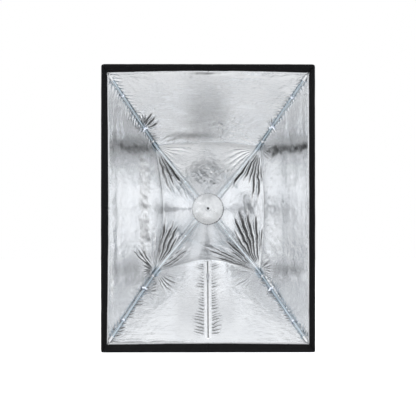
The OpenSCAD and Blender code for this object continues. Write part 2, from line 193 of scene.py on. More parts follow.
camera_data = bpy.data.cameras.new("camera")
camera_data.sensor_fit = "AUTO"
camera_data.sensor_width = 36
camera_data.lens = 36 * CAMERA_DISTANCE * edge_span / (front_width * PICTURE)
camera = bpy.data.objects.new("camera", camera_data)
bpy.context.scene.collection.objects.link(camera)
bpy.context.scene.camera = camera
eye = Vector((CAMERA_ASIDE, shell_y[FRONT] - CAMERA_DISTANCE, CAMERA_RAISE))
metres_per_point = front_width / edge_span
aim = Vector((
    (PICTURE / 2 - middle_x) * metres_per_point,
    shell_y[FRONT],
    (middle_y - PICTURE / 2) * metres_per_point,
))
camera.location = eye
camera.rotation_euler = (aim - eye).to_track_quat("-Z", "Y").to_euler()
bpy.context.view_layer.update()
print("lens:", round(camera_data.lens, 2))

# %% [markdown]
# What is sewn or tied on goes where the photograph shows it. One function sends a ray from the camera through an
# image point onto the surface that carries the piece. Where the ray misses, the nearest place counts. A second
# one goes the other way and tells where a point shows, so that each place can be measured at the end.

# %% From the picture to the model and back
def place(point, carrier):
    """The place and normal on a carrier, a BVH tree, that an image point looks at."""
    data = camera.data
    ray = Vector((
        point[0] - PICTURE / 2 + data.shift_x * PICTURE,
        PICTURE / 2 - point[1] + data.shift_y * PICTURE,
        -PICTURE * data.lens / data.sensor_width,
    ))
    way = (camera.matrix_world.to_quaternion() @ ray).normalized()
    start = camera.matrix_world.translation
    hit, normal, _, _ = carrier.ray_cast(start, way)
    if hit is None:
        far = [carrier.find_nearest(start + way * (i * 0.01)) for i in range(220, 300)]
        hit, normal, _, _ = min(far, key=lambda f: f[3])
        on_ray = start + way * (hit - start).dot(way)
        hit, normal, _, _ = carrier.find_nearest(on_ray)
    return hit, normal


def shows_at(points):
    """Where points of the model show in the picture, as rows of x and y."""
    data = camera.data
    inverse = np.array(camera.matrix_world.inverted())
    near = np.asarray(points) @ inverse[:3, :3].T + inverse[:3, 3]
    scale = PICTURE * data.lens / data.sensor_width / -near[:, 2]
    return np.stack([PICTURE / 2 + near[:, 0] * scale, PICTURE / 2 - near[:, 1] * scale], -1)


def tree_of(*names):
    """A BVH tree of some objects' meshes."""
    whole = bmesh.new()
    for name in names:
        whole.from_mesh(bpy.data.objects[name].data)
    return BVHTree.FromBMesh(whole)


print("the shaft's end shows at", shows_at([(low["shaft_cap"] + high["shaft_cap"]) / 2])[0].round(1))

# %% [markdown]
# ## Studio
# The photograph has a white background and soft light. Lamps alone would give the lining hard white patches,
# because it is nearly a mirror: it needs a surround to reflect. A large bowl stands behind the camera for this.
# Its level changes with direction, and was fitted until the lining was about as bright as in the photograph. The
# camera doesn't see it.

# %% World
bpy.context.scene.view_settings.view_transform = "Standard"
WHITE, ROOM_LIGHT = 1.0, 0.55

world = bpy.data.worlds.new("studio")
bpy.context.scene.world = world
world.use_nodes = True
nodes, links = world.node_tree.nodes, world.node_tree.links
nodes.clear()
path = nodes.new("ShaderNodeLightPath")
seen_ray = path.outputs["Is Camera Ray"]
for kind in ("Is Glossy Ray", "Is Transmission Ray"):
    either = nodes.new("ShaderNodeMath")
    either.operation = "MAXIMUM"
    links.new(seen_ray, either.inputs[0])
    links.new(path.outputs[kind], either.inputs[1])
    seen_ray = either.outputs[0]
mix = nodes.new("ShaderNodeMixShader")
links.new(seen_ray, mix.inputs[0])
for slot, strength in ((1, ROOM_LIGHT), (2, WHITE)):
    light = nodes.new("ShaderNodeBackground")
    light.inputs["Color"].default_value = (1, 1, 1, 1)
    light.inputs["Strength"].default_value = strength
    links.new(light.outputs[0], mix.inputs[slot])
links.new(mix.outputs[0], nodes.new("ShaderNodeOutputWorld").inputs["Surface"])
print("background strength:", WHITE, "room light:", ROOM_LIGHT)

# %% [markdown]
# The bowl's light is painted on its vertices. Two bounces inside the box turn a small patch of it into each part
# of the picture. The side walls and side panels show what is beside the camera, the top panel shows what is low
# in front, the bottom panel what is high in front, and the bottom wall shows the ceiling.

# %% The bowl behind the camera
BOWL_RADIUS = 4.0


def bowl_light(aside, up):
    """Light of the bowl by its direction in degrees, to the right and up, as a colour."""
    beside = 1 / (1 + np.exp((11 - np.abs(aside)) / 1.5))
    middle, half_height = -6 + 4 * beside, 24 + 26 * beside
    tall = np.exp(-(((up - middle) / half_height) ** 4))
    level = 0.2 + (1.3 * np.exp(-((aside / 95) ** 6)) + 0.36 * np.exp(-((aside / 28) ** 4))) * tall
    level += 0.6 * np.exp(-((aside / 30) ** 4)) * np.exp(-(((up + 37) / 10) ** 2))
    level += 0.45 * np.exp(-((aside / 30) ** 4)) * np.exp(-(((up - 33) / 10) ** 2))
    level += 0.92 / (1 + np.exp(-(up - 50) / 5)) + 0.8 / (1 + np.exp((up + 52) / 5))
    warm = 1 / (1 + np.exp((up + 18) / 6))
    tint = np.array([0.975, 0.995, 1.02]) * (1 - warm[:, None]) + np.array([1.02, 1.0, 0.96]) * warm[:, None]
    return level[:, None] * tint


def bowl():
    mesh = bmesh.new()
    bmesh.ops.create_uvsphere(mesh, u_segments=96, v_segments=64, radius=BOWL_RADIUS)
    gone = [v for v in mesh.verts if v.co.y > -0.35]
    bmesh.ops.delete(mesh, geom=gone, context="VERTS")
    data = bpy.data.meshes.new("studio_bowl")
    mesh.to_mesh(data)
    obj = bpy.data.objects.new("studio_bowl", data)
    bpy.context.scene.collection.objects.link(obj)
    xyz = np.array([v.co for v in data.vertices]) / BOWL_RADIUS
    aside = np.degrees(np.arctan2(xyz[:, 0], -xyz[:, 1]))
    up = np.degrees(np.arcsin(np.clip(xyz[:, 2], -1, 1)))
    colour = data.color_attributes.new("bowl_light", "FLOAT_COLOR", "POINT")
    colour.data.foreach_set("color", np.c_[bowl_light(aside, up), np.ones(len(xyz))].astype(np.float32).ravel())
    material = bpy.data.materials.new("studio_bowl")
    material.use_nodes = True
    tree = material.node_tree
    tree.nodes.clear()
    painted = tree.nodes.new("ShaderNodeAttribute")
    painted.attribute_name = "bowl_light"
    glow = tree.nodes.new("ShaderNodeEmission")
    tree.links.new(painted.outputs["Color"], glow.inputs["Color"])
    tree.links.new(glow.outputs[0], tree.nodes.new("ShaderNodeOutputMaterial").inputs["Surface"])
    data.materials.append(material)
    obj.visible_camera = False
    obj.visible_shadow = False
    return obj


studio_bowl = bowl()
print("bowl:", len(studio_bowl.data.vertices), "vertices")

# %% [markdown]
# The box stands on a white floor that fades into the background. The floor glows a little for the camera, so that
# it reaches white, and the rest of its light is real, so that the box keeps a faint shadow.

# %% Floor and lamps
FLOOR_DROP = 0.0005


def floor():
    z = cad_box[0][2] - FLOOR_DROP
    data = bpy.data.meshes.new("studio_floor")
    data.from_pydata([(-5, -5, z), (5, -5, z), (5, 5, z), (-5, 5, z)], [], [(0, 1, 2, 3)])
    obj = bpy.data.objects.new("studio_floor", data)
    bpy.context.scene.collection.objects.link(obj)
    material = bpy.data.materials.new("studio_floor")
    material.use_nodes = True
    shader = material.node_tree.nodes["Principled BSDF"]
    shader.inputs["Base Color"].default_value = (0.9, 0.9, 0.9, 1)
    shader.inputs["Roughness"].default_value = 0.9
    shader.inputs["Specular IOR Level"].default_value = 0.1
    shader.inputs["Emission Color"].default_value = (1, 1, 1, 1)
    tree = material.node_tree
    ray = tree.nodes.new("ShaderNodeLightPath")
    share = tree.nodes.new("ShaderNodeMath")
    share.operation = "MULTIPLY"
    share.inputs[1].default_value = 0.62
    tree.links.new(ray.outputs["Is Camera Ray"], share.inputs[0])
    tree.links.new(share.outputs[0], shader.inputs["Emission Strength"])
    data.materials.append(material)
    return obj


def soft_lamp(name, place_at, target, size, watts):
    data = bpy.data.lights.new(name, "AREA")
    data.shape = "RECTANGLE"
    data.size, data.size_y = size
    data.energy = watts
    lamp = bpy.data.objects.new(name, data)
    lamp.location = place_at
    lamp.visible_glossy = False
    lamp.rotation_euler = (Vector(target) - Vector(place_at)).to_track_quat("-Z", "Y").to_euler()
    bpy.context.scene.collection.objects.link(lamp)
    return lamp


studio_floor = floor()
soft_lamp("key_lamp", (-1.3, -2.2, 2.3), (0, 0, 0), (1.6, 1.6), 26)
soft_lamp("fill_lamp", (1.9, -1.8, 1.0), (0, 0, 0), (1.2, 1.6), 12)
soft_lamp("back_lamp", (0.6, 2.4, 2.0), (0, 0.1, 0), (1.6, 1.6), 30)
print("lamps: 3, floor at", round(cad_box[0][2] - FLOOR_DROP, 4))

# %% [markdown]
# ## Finishes
# Each finish is one material with its own small tree. Three helpers keep the trees short: soft noise, a value
# stretched between two numbers, and bump from a height. Cloth patterns follow the piece's own UV map, which is in
# metres along the cloth. Hard pieces read Object coordinates.

# %% Material helpers
def finish(name, roughness, metallic=0.0):
    material = bpy.data.materials.new(name)
    material.use_nodes = True
    tree = material.node_tree
    shader = tree.nodes["Principled BSDF"]
    shader.inputs["Roughness"].default_value = roughness
    shader.inputs["Metallic"].default_value = metallic
    return material, tree, shader


def coordinates(tree, kind="Object"):
    return tree.nodes.new("ShaderNodeTexCoord").outputs[kind]


def noise_value(tree, where, scale, detail=3.0):
    node = tree.nodes.new("ShaderNodeTexNoise")
    node.inputs["Scale"].default_value = scale
    node.inputs["Detail"].default_value = detail
    tree.links.new(where, node.inputs["Vector"])
    return node.outputs["Fac"]


def stretch(tree, value, bottom, top, start=0.3, end=0.7):
    """A value from start to end, stretched to reach from bottom to top."""
    node = tree.nodes.new("ShaderNodeMapRange")
    for socket, number in (("From Min", start), ("From Max", end), ("To Min", bottom), ("To Max", top)):
        node.inputs[socket].default_value = number
    tree.links.new(value, node.inputs["Value"])
    return node.outputs["Result"]


def two_tones(tree, shader, value, dark, light, start=0.3, end=0.7):
    node = tree.nodes.new("ShaderNodeMix")
    node.data_type = "RGBA"
    node.inputs["A"].default_value = (*dark, 1)
    node.inputs["B"].default_value = (*light, 1)
    tree.links.new(stretch(tree, value, 0, 1, start, end), node.inputs["Factor"])
    tree.links.new(node.outputs["Result"], shader.inputs["Base Color"])


def relief(tree, shader, height, depth, strength=1.0):
    """Bump from a height of 0 to 1, depth metres deep, on top of any bump that is there already."""
    node = tree.nodes.new("ShaderNodeBump")
    node.inputs["Distance"].default_value = depth
    node.inputs["Strength"].default_value = strength
    if shader.inputs["Normal"].is_linked:
        tree.links.new(shader.inputs["Normal"].links[0].from_socket, node.inputs["Normal"])
    tree.links.new(height, node.inputs["Height"])
    tree.links.new(node.outputs["Normal"], shader.inputs["Normal"])


def threads(tree, where, pitch, turn=0.0):
    """Crossing threads, one every pitch metres each way."""
    place_node = tree.nodes.new("ShaderNodeMapping")
    place_node.inputs["Rotation"].default_value = (0, 0, math.radians(turn))
    tree.links.new(where, place_node.inputs["Vector"])
    both = tree.nodes.new("ShaderNodeMath")
    both.operation = "MAXIMUM"
    for i, direction in enumerate("XY"):
        wave = tree.nodes.new("ShaderNodeTexWave")
        wave.bands_direction = direction
        wave.inputs["Scale"].default_value = 2 * math.pi / (20 * pitch)
        tree.links.new(place_node.outputs["Vector"], wave.inputs["Vector"])
        tree.links.new(wave.outputs["Fac"], both.inputs[i])
    return both.outputs[0]


def along_way(tree, way, fine, coarse):
    """Object coordinates with a fine scale across a direction and a coarse one along it."""
    way = Vector(way).normalized()
    side_way = way.orthogonal().normalized()
    joined = tree.nodes.new("ShaderNodeCombineXYZ")
    for socket, axis, scale in zip("XYZ", (way, side_way, way.cross(side_way)), (coarse, fine, fine)):
        part = tree.nodes.new("ShaderNodeVectorMath")
        part.operation = "DOT_PRODUCT"
        part.inputs[1].default_value = axis * scale
        tree.links.new(coordinates(tree), part.inputs[0])
        tree.links.new(part.outputs["Value"], joined.inputs[socket])
    return joined.outputs[0]


print("material helpers ready")

# %% [markdown]
# The lining is a cloth coated with silver. It mirrors what is round it, but softly, because the coating follows
# the threads. A fully metallic shader with middling roughness does this. Its tone and roughness change a little
# from place to place, as a coating that has been folded does, and faint creases are in the bump. Its colour is also
# multiplied by an attribute of the cloth that holds painted shade and painted highlights on the flanks of the folds,
# and painted grey bands, computed with the panels below.

# %% Lining and cover
def silver_lining():
    material, tree, shader = finish("silver_lining", 0.3, 1.0)
    where, cloth = coordinates(tree), coordinates(tree, "UV")
    two_tones(tree, shader, noise_value(tree, where, 9.0), (0.90, 0.91, 0.925), (0.975, 0.98, 0.985))
    # The attribute read here is painted shade and painted highlight, multiplied into the lining's colour.
    painted_shade_node = tree.nodes.new("ShaderNodeAttribute")
    painted_shade_node.attribute_name = "painted_shade"
    both = tree.nodes.new("ShaderNodeMix")
    both.data_type, both.blend_type = "RGBA", "MULTIPLY"
    both.inputs["Factor"].default_value = 1.0
    tree.links.new(shader.inputs["Base Color"].links[0].from_socket, both.inputs["A"])
    tree.links.new(painted_shade_node.outputs["Color"], both.inputs["B"])
    tree.links.new(both.outputs["Result"], shader.inputs["Base Color"])
    tree.links.new(stretch(tree, noise_value(tree, where, 22.0), 0.2, 0.27), shader.inputs["Roughness"])
    pull = tree.nodes.new("ShaderNodeMapping")
    pull.inputs["Scale"].default_value = (28.0, 240.0, 1.0)
    tree.links.new(cloth, pull.inputs["Vector"])
    relief(tree, shader, noise_value(tree, pull.outputs["Vector"], 1.0, 4.0), 0.0012, 0.34)
    relief(tree, shader, noise_value(tree, where, 140.0, 4.0), 0.0006, 0.35)
    relief(tree, shader, threads(tree, cloth, 0.0007), 0.00004, 0.3)
    return material


def black_cover():
    material, tree, shader = finish("black_cover", 0.62)
    where, cloth = coordinates(tree), coordinates(tree, "UV")
    two_tones(tree, shader, noise_value(tree, where, 14.0), (0.012, 0.012, 0.013), (0.024, 0.024, 0.026))
    tree.links.new(stretch(tree, noise_value(tree, where, 30.0), 0.52, 0.7), shader.inputs["Roughness"])
    shader.inputs["Sheen Weight"].default_value = 0.15
    shader.inputs["Sheen Roughness"].default_value = 0.4
    relief(tree, shader, threads(tree, cloth, 0.0006), 0.00006, 0.7)
    relief(tree, shader, noise_value(tree, where, 60.0), 0.0008, 0.25)
    return material


silver = silver_lining()
cover = black_cover()
print("lining and cover:", silver.name, cover.name)

# %% [markdown]
# The hem is the soft half of a hook-and-loop tape, dull and slightly furry. The thread is a touch lighter, so that
# the stitches can be told from the tape. The zip's tapes and the pockets are woven in silver, the ties are a
# bluish white ribbon, and the rosette is a satin cloth.

# %% Tapes, thread and ribbon
def hem_tape():
    material, tree, shader = finish("hem_loop_tape", 0.95)
    where = coordinates(tree)
    two_tones(tree, shader, noise_value(tree, where, 700.0, 2.0), (0.004, 0.004, 0.0045), (0.013, 0.013, 0.0135))
    tree.links.new(stretch(tree, noise_value(tree, where, 60.0), 0.88, 1.0), shader.inputs["Roughness"])
    shader.inputs["Specular IOR Level"].default_value = 0.06
    relief(tree, shader, noise_value(tree, where, 1200.0, 2.0), 0.0005, 0.8)
    return material


def woven_tape(name, dark, light, roughness, metallic, pitch, turn=0.0):
    material, tree, shader = finish(name, roughness, metallic)
    where, cloth = coordinates(tree), coordinates(tree, "UV")
    two_tones(tree, shader, noise_value(tree, where, 120.0), dark, light)
    tree.links.new(stretch(tree, noise_value(tree, where, 90.0), roughness - 0.06, roughness + 0.08),
                   shader.inputs["Roughness"])
    relief(tree, shader, threads(tree, cloth, pitch, turn), 0.00012, 0.6)
    return material


hem_cloth = hem_tape()
facing_cloth = woven_tape("lining_edge", (0.50, 0.505, 0.51), (0.58, 0.585, 0.59), 0.3, 1.0, 0.0006)
silver_tape = woven_tape("silver_tape", (0.78, 0.79, 0.8), (0.9, 0.905, 0.91), 0.4, 0.7, 0.0008, 45)
ribbon_cloth = woven_tape("tie_ribbon", (0.74, 0.79, 0.9), (0.88, 0.92, 0.98), 0.42, 0.0, 0.0006)
rosette_cloth = woven_tape("rosette_satin", (0.46, 0.468, 0.473), (0.56, 0.565, 0.57), 0.3, 0.9, 0.0005)
patch_cloth = woven_tape("black_webbing", (0.01, 0.01, 0.011), (0.03, 0.03, 0.032), 0.75, 0.0, 0.0012, 45)
black_thread = woven_tape("black_thread", (0.03, 0.03, 0.032), (0.06, 0.06, 0.063), 0.6, 0.0, 0.0004, 30)
silver_thread = woven_tape("silver_thread", (0.6, 0.62, 0.66), (0.8, 0.82, 0.85), 0.5, 0.3, 0.0004, 30)
print("tapes and threads: 8")

# %% [markdown]
# The rods are drawn steel with a blue-grey coat, so their fine lines run along them. Each rod's direction is read
# from its mesh. The shaft is plated and nearly a mirror, and the small fittings are turned steel, nickel or a
# moulded black plastic with a fine grain.

# %% Metal and plastic
def drawn_metal(name, way, dark, light, rough_low, rough_high):
    material, tree, shader = finish(name, rough_low, 1.0)
    lines = noise_value(tree, along_way(tree, way, 900.0, 12.0), 1.0, 2.0)
    two_tones(tree, shader, lines, dark, light)
    tree.links.new(stretch(tree, lines, rough_low, rough_high), shader.inputs["Roughness"])
    relief(tree, shader, lines, 0.00006, 0.4)
    return material


def moulded(name, dark, light, roughness, grain):
    material, tree, shader = finish(name, roughness)
    where = coordinates(tree)
    two_tones(tree, shader, noise_value(tree, where, 45.0), dark, light)
    tree.links.new(stretch(tree, noise_value(tree, where, 200.0), roughness - 0.08, roughness + 0.1),
                   shader.inputs["Roughness"])
    relief(tree, shader, noise_value(tree, where, grain, 2.0), 0.00008, 0.5)
    return material


def long_way(name):
    """The direction in which a CAD node's points spread most."""
    points = np.array([v.co for v in bpy.data.objects[name].data.vertices])
    return Vector(np.linalg.svd(points - points.mean(0), full_matrices=False)[2][0])


plated = drawn_metal("shaft_plating", (0, 1, 0), (0.62, 0.64, 0.66), (0.74, 0.76, 0.78), 0.1, 0.2)
turned = drawn_metal("turned_steel", (1, 0, 0), (0.5, 0.51, 0.52), (0.66, 0.67, 0.68), 0.22, 0.36)
nickel = drawn_metal("zip_nickel", (0, -0.64, -0.77), (0.44, 0.45, 0.47), (0.6, 0.61, 0.63), 0.2, 0.36)
knee_metal = drawn_metal("knee_steel", (0, 1, 0), (0.42, 0.5, 0.56), (0.62, 0.7, 0.76), 0.26, 0.42)
grey_plastic = moulded("grey_plastic", (0.62, 0.63, 0.64), (0.72, 0.73, 0.74), 0.45, 700.0)
black_plastic = moulded("black_plastic", (0.02, 0.02, 0.021), (0.035, 0.035, 0.037), 0.5, 900.0)
button_plastic = moulded("button_plastic", (0.04, 0.04, 0.043), (0.055, 0.055, 0.06), 0.3, 500.0)

COATS = {
    "rib_inner": ((0.72, 0.79, 0.84), (0.88, 0.92, 0.95)),
    "rib_outer": ((0.42, 0.5, 0.56), (0.6, 0.68, 0.74)),
    "stretcher": ((0.6, 0.66, 0.7), (0.78, 0.83, 0.86)),
}
plain = {
    "shaft": plated, "shaft_cap": black_plastic, "stop_ring": turned, "hub": grey_plastic, "hub_pins": turned,
    "ferrule": black_plastic, "runner": grey_plastic, "runner_pins": turned, "runner_button": button_plastic,
    "zip_stops": nickel, "zip_slider": nickel, "zip_pull": nickel,
}
for corner in CORNERS:
    plain[f"rib_knee_{corner}"] = knee_metal
    plain[f"stretcher_rivets_{corner}"] = turned
    for rod in ("rib_inner", "rib_outer", "stretcher"):
        node_name = f"{rod}_{corner}"
        plain[node_name] = drawn_metal(
            f"drawn_{node_name}", long_way(node_name), *COATS[rod], 0.2, 0.34)
for node_name, material in plain.items():
    for slot in bpy.data.objects[node_name].material_slots:
        slot.material = material
print("CAD nodes with a finish of their own:", len(plain))

# %% [markdown]
# ## Folds in the lining
# A silver lining shows every small fold, because each one turns a strip of the cloth towards another part of the
# room. The folds could be painted as bump, but then the edge of a seam would stay straight. Here they move the
# cloth itself. Each kind of fold is a short function that returns how far the cloth stands in, in metres.

# %% Fold helpers
GRID = [0.0013, 0.0018]


def noise(points, size, seed=0):
    """Smooth random values from -1 to 1 that change about once every size metres."""
    cell = np.floor(points / size)
    part = points / size - cell
    part = part * part * (3 - 2 * part)
    cell = cell.astype(np.int64)
    total = 0.0
    for corner in ((x, y, z) for x in (0, 1) for y in (0, 1) for z in (0, 1)):
        key = (cell + np.array(corner)) @ np.array([73856093, 19349663, 83492791]) + seed * 7919
        key = (key ^ (key >> 13)) * 1274126177
        value = ((key ^ (key >> 16)) & 0xFFFF) / 32767.5 - 1
        total = total + value * np.prod(np.where(corner, part, 1 - part), -1)
    return total


def smooth(start, end, x):
    """0 before start, 1 after end, and a soft step between them."""
    t = np.clip((x - start) / (end - start), 0, 1)
    return t * t * (3 - 2 * t)


def line_noise(x, seed=0):
    """The same along one number instead of a point."""
    return noise(np.stack([x, np.full(x.shape, 0.37), np.full(x.shape, 0.81)], -1), 1.0, seed)


def ridge(turns, sharp=1.6):
    """A row of rounded ridges, one each turn."""
    return (0.5 + 0.5 * np.cos(2 * np.pi * turns)) ** sharp


def puckers(p, a, b, pitch, reach, slope, lean=0.0, seed=0):
    """Short folds that run off the seam from a to b, one every pitch metres."""
    a, b = np.array(a, float), np.array(b, float)
    length = np.linalg.norm(b - a)
    way = (b - a) / length
    along = (p - a) @ way
    off = np.linalg.norm(p - a - along[..., None] * way, axis=-1)
    turns = (along + lean * off) / pitch + 0.7 * line_noise(along / (2.6 * pitch), seed)
    own_reach = reach * (0.62 + 0.38 * line_noise(along / (1.3 * pitch), seed + 1))
    own_slope = slope * (0.7 + 0.5 * line_noise(along / (1.9 * pitch), seed + 2))
    ends = smooth(0, 2 * pitch, along) * smooth(0, 2 * pitch, length - along)
    fade = smooth(0.0, 0.1 * reach, off) * (1 - smooth(0.25, 1.0, off / own_reach))
    return own_slope * pitch / np.pi * ends * fade * (ridge(turns) - 0.35)


def fan(p, centre, middle, spread, pitch, reach, slope, seed=0, start=0.006):
    """Folds that spread from a point where the cloth is held. Angles are in degrees in the picture's plane."""
    dx, dz = p[..., 0] - centre[0], p[..., 2] - centre[2]
    far = np.linalg.norm(p - np.array(centre), axis=-1)
    turn = (np.degrees(np.arctan2(dz, dx)) - middle + 180) % 360 - 180
    turns = turn / pitch + 0.75 * line_noise(turn / (1.9 * pitch), seed)
    turns = turns + 0.35 * line_noise(far / 0.05 + turn / (3 * pitch), seed + 7)
    own_reach = reach * (0.72 + 0.28 * line_noise(turn / (0.9 * pitch), seed + 1))
    own_slope = slope * (0.75 + 0.5 * line_noise(turn / (1.1 * pitch), seed + 2))
    sides = 1 - smooth(0.7 * spread / 2, spread / 2, np.abs(turn))
    fade = smooth(start, start + 0.012, far) * (1 - smooth(0.5, 1.0, far / own_reach))
    wide = np.radians(pitch) * far
    fine = smooth(0.0026, 0.0058, wide)
    return own_slope * np.minimum(wide, 0.02) / np.pi * fine * sides * fade * (ridge(turns) - 0.35)


def streaks(along, across, long, short, height, seed=0):
    """Long soft folds that run along one way of a panel."""
    q = np.stack([along / long, across / short, np.full(along.shape, 0.5)], -1)
    return height * (noise(q, 1.0, seed) + 0.5 * noise(q * np.array([1.7, 2.1, 1.0]), 1.0, seed + 3))


def step(across, at, width, height):
    """A smooth step from one level of the cloth to another."""
    return height / 2 * np.tanh((across - at) / width)


def near(x, at, width):
    """1 at a place and 0 a few widths away from it."""
    return np.exp(-(((x - at) / width) ** 2))


def crinkle(p, size, height, seed=0):
    """The little facets of a coated cloth that has been packed away."""
    fold = noise(p, size, seed) + 0.6 * noise(p * np.array([1.3, 1.0, 0.8]), size / 1.9, seed + 5)
    return height * (0.8 - 1.6 * np.sqrt(fold * fold + 0.03))


print("fold helpers ready")

# %% [markdown]
# Now the folds are laid out panel by panel, as the photograph shows them. The cloth is held at the knees and at
# the ties, so fans spread from there. Seams gather it, the zip most of all, and the hem pulls long soft streaks.

# %% Where the cloth is held
TIE_SHARE, ZIP_SHARE = 0.24, 0.86
HALVES = {TOP: ("tl", "tr"), RIGHT: ("tr", "br"), BOTTOM: ("br", "bl"), LEFT: ("bl", "tl")}
knee = {c: Vector((sx * knee_x, shell_y[KNEE], sz * knee_z)) for c, (sx, sz) in CORNERS.items()}
front = {c: Vector((sx * half_w[FRONT], shell_y[FRONT], sz * half_h[FRONT])) for c, (sx, sz) in CORNERS.items()}
hub_corner = {c: Vector((sx * half_w[HUB], shell_y[HUB], sz * half_h[HUB])) for c, (sx, sz) in CORNERS.items()}
tie = {c: knee[c].lerp(front[c], TIE_SHARE) for c in CORNERS}
zip_start = shell_point(BOTTOM, KNEE, 0.5, 0.0)
zip_stop = shell_point(BOTTOM, KNEE, 0.5, ZIP_SHARE)


def wall_folds(side, p):
    x, z = p[..., 0], p[..., 2]
    if side == TOP:
        h = fan(p, tie["tl"], 62, 150, 19, 0.085, 1.5, 11) + fan(p, tie["tr"], 112, 80, 16, 0.055, 0.6, 12)
        h += fan(p, knee["tl"], 22, 46, 10, 0.12, 0.5, 13) + fan(p, knee["tr"], 164, 44, 11, 0.13, 0.55, 14)
        h += puckers(p, knee["tl"], front["tl"], 0.013, 0.044, 0.6, 0.5, 15)
        h += puckers(p, knee["tr"], front["tr"], 0.012, 0.042, 0.7, 0.5, 16)
        h += streaks(x, z, 0.11, 0.012, 0.0016, 17) * near(z, 0.385, 0.03) * smooth(0.0, 0.1, x)
        h += crinkle(p, 0.017, 0.0018, 18) * near(x, 0.055, 0.05) * near(z, 0.245, 0.035)
        h += 0.0042 * near(z, 0.212, 0.011) * near(x, -0.05, 0.055) + 0.006 * near(x, 0.01, 0.07)
        h += 0.0028 * noise(p * np.array([1, 1, 1.6]), 0.12, 19)
    elif side == RIGHT:
        h = fan(p, knee["br"], 20, 150, 15, 0.075, 0.7, 21) + fan(p, tie["tr"], -35, 90, 15, 0.055, 0.5, 22)
        h += fan(p, knee["tr"], -40, 90, 15, 0.07, 0.5, 23) + fan(p, tie["br"], 40, 90, 14, 0.055, 0.5, 24)
        h += puckers(p, knee["br"], front["br"], 0.012, 0.042, 0.6, 0.4, 25)
        h += puckers(p, knee["tr"], front["tr"], 0.013, 0.042, 0.55, 0.4, 26)
        h += step(z, 0.180, 0.018, 0.012) * smooth(0.155, 0.2, x) - step(z, -0.196, 0.015, 0.009) * smooth(0.17, 0.22, x)
        h += streaks(z, x, 0.2, 0.014, 0.0010, 27) + streaks(z, x, 0.09, 0.006, 0.0010, 28) * smooth(0.26, 0.29, x)
        h += 0.0016 * noise(p * np.array([1.6, 1, 1]), 0.13, 29)
    elif side == BOTTOM:
        h = puckers(p, zip_start, zip_stop, 0.0105, 0.075, 0.9, 0.35, 31)
        h += puckers(p, zip_start, zip_stop, 0.0064, 0.03, 0.5, -0.3, 30)
        h += fan(p, tie["bl"], -15, 120, 13, 0.08, 0.6, 32) + fan(p, knee["bl"], -34, 70, 11, 0.16, 0.45, 33)
        h += fan(p, knee["br"], 200, 60, 10, 0.15, 0.45, 34) + fan(p, tie["br"], 205, 80, 14, 0.055, 0.4, 35)
        h += puckers(p, knee["bl"], front["bl"], 0.013, 0.05, 0.6, 0.6, 36)
        h += puckers(p, knee["br"], front["br"], 0.012, 0.042, 0.5, 0.5, 37)
        h += streaks(x, z, 0.13, 0.009, 0.0016, 38) * near(z, -0.385, 0.03) * (1 - smooth(-0.06, 0.02, x))
        h += 0.0018 * noise(p * np.array([1, 1, 1.5]), 0.12, 39)
    else:
        h = fan(p, knee["bl"], 168, 110, 17, 0.09, 1.6, 41, 0.016) + fan(p, tie["tl"], 215, 100, 14, 0.06, 0.6, 42)
        h += fan(p, knee["bl"], 108, 50, 9, 0.17, 0.5, 50, 0.02)
        h += fan(p, knee["tl"], 220, 90, 15, 0.06, 0.45, 43) + fan(p, tie["bl"], 190, 90, 14, 0.055, 0.7, 44)
        h += puckers(p, knee["tl"], front["tl"], 0.013, 0.056, 0.7, 0.5, 45)
        h += puckers(p, knee["bl"], front["bl"], 0.012, 0.042, 0.55, 0.5, 46)
        h += step(z, 0.178, 0.019, 0.0125) * (1 - smooth(-0.2, -0.155, x)) * (1 - 0.5 * near(x, -0.29, 0.04))
        h -= step(z, -0.192, 0.017, 0.011) * (1 - smooth(-0.2, -0.17, x)) * (1 - 0.5 * near(x, -0.29, 0.04))
        h += streaks(z, x, 0.18, 0.012, 0.0016, 47) * (1 - smooth(-0.27, -0.22, x))
        h += streaks(z, x, 0.1, 0.006, 0.0014, 48) * (1 - smooth(-0.29, -0.26, x))
        h += 0.0016 * noise(p * np.array([1.6, 1, 1]), 0.13, 49)
    return h


def back_folds(side, p):
    x, z = p[..., 0], p[..., 2]
    if side == TOP:
        h = fan(p, knee["tl"], -22, 50, 11, 0.17, 0.25, 51) + fan(p, knee["tr"], 206, 44, 10, 0.18, 0.42, 52)
        h += crinkle(p, 0.015, 0.0016, 53) * near(x, 0.012, 0.05) * near(z, 0.105, 0.035)
        h += 0.0012 * noise(p, 0.06, 54)
    elif side == RIGHT:
        h = fan(p, knee["tr"], -110, 64, 8.0, 0.24, 1.15, 61) + fan(p, knee["br"], 108, 70, 7.4, 0.27, 1.2, 62)
        h += fan(p, knee["br"], 118, 40, 4.2, 0.24, 0.55, 64) + 0.0012 * noise(p, 0.07, 63)
    elif side == BOTTOM:
        h = fan(p, knee["bl"], 24, 56, 10, 0.17, 0.7, 71) + fan(p, knee["br"], 150, 66, 6.2, 0.26, 1.1, 72)
        h += 0.0014 * noise(p, 0.05, 74)
    else:
        h = fan(p, knee["tl"], -70, 64, 8.2, 0.25, 1.15, 81) + fan(p, knee["bl"], 70, 68, 7.6, 0.24, 1.15, 82)
        h += fan(p, knee["tl"], -58, 30, 4.4, 0.26, 0.55, 84) + 0.0012 * noise(p, 0.07, 83)
    return h


def folds(side, st, p):
    """How far the lining stands in at points of a panel, with the fine ripple that is everywhere."""
    sway = np.stack([noise(p, 0.035, 101 + i) + 0.5 * noise(p, 0.014, 105 + i) for i in range(3)], -1)
    q = p + 0.0035 * sway
    h = wall_folds(side, q) if st == KNEE else back_folds(side, q)
    a, b = (hub_corner, knee) if st == HUB else (knee, front)
    for i, corner in enumerate(HALVES[side]):
        h += puckers(q, a[corner], b[corner], 0.0075, 0.022, 0.4, 0.4, 111 + 10 * side + 2 * i + st)
    return h + 0.00026 * noise(p, 0.009, 91 + side) + 0.0006 * noise(p, 0.03, 95 + side)


print("held at", len(knee) + len(tie), "places")
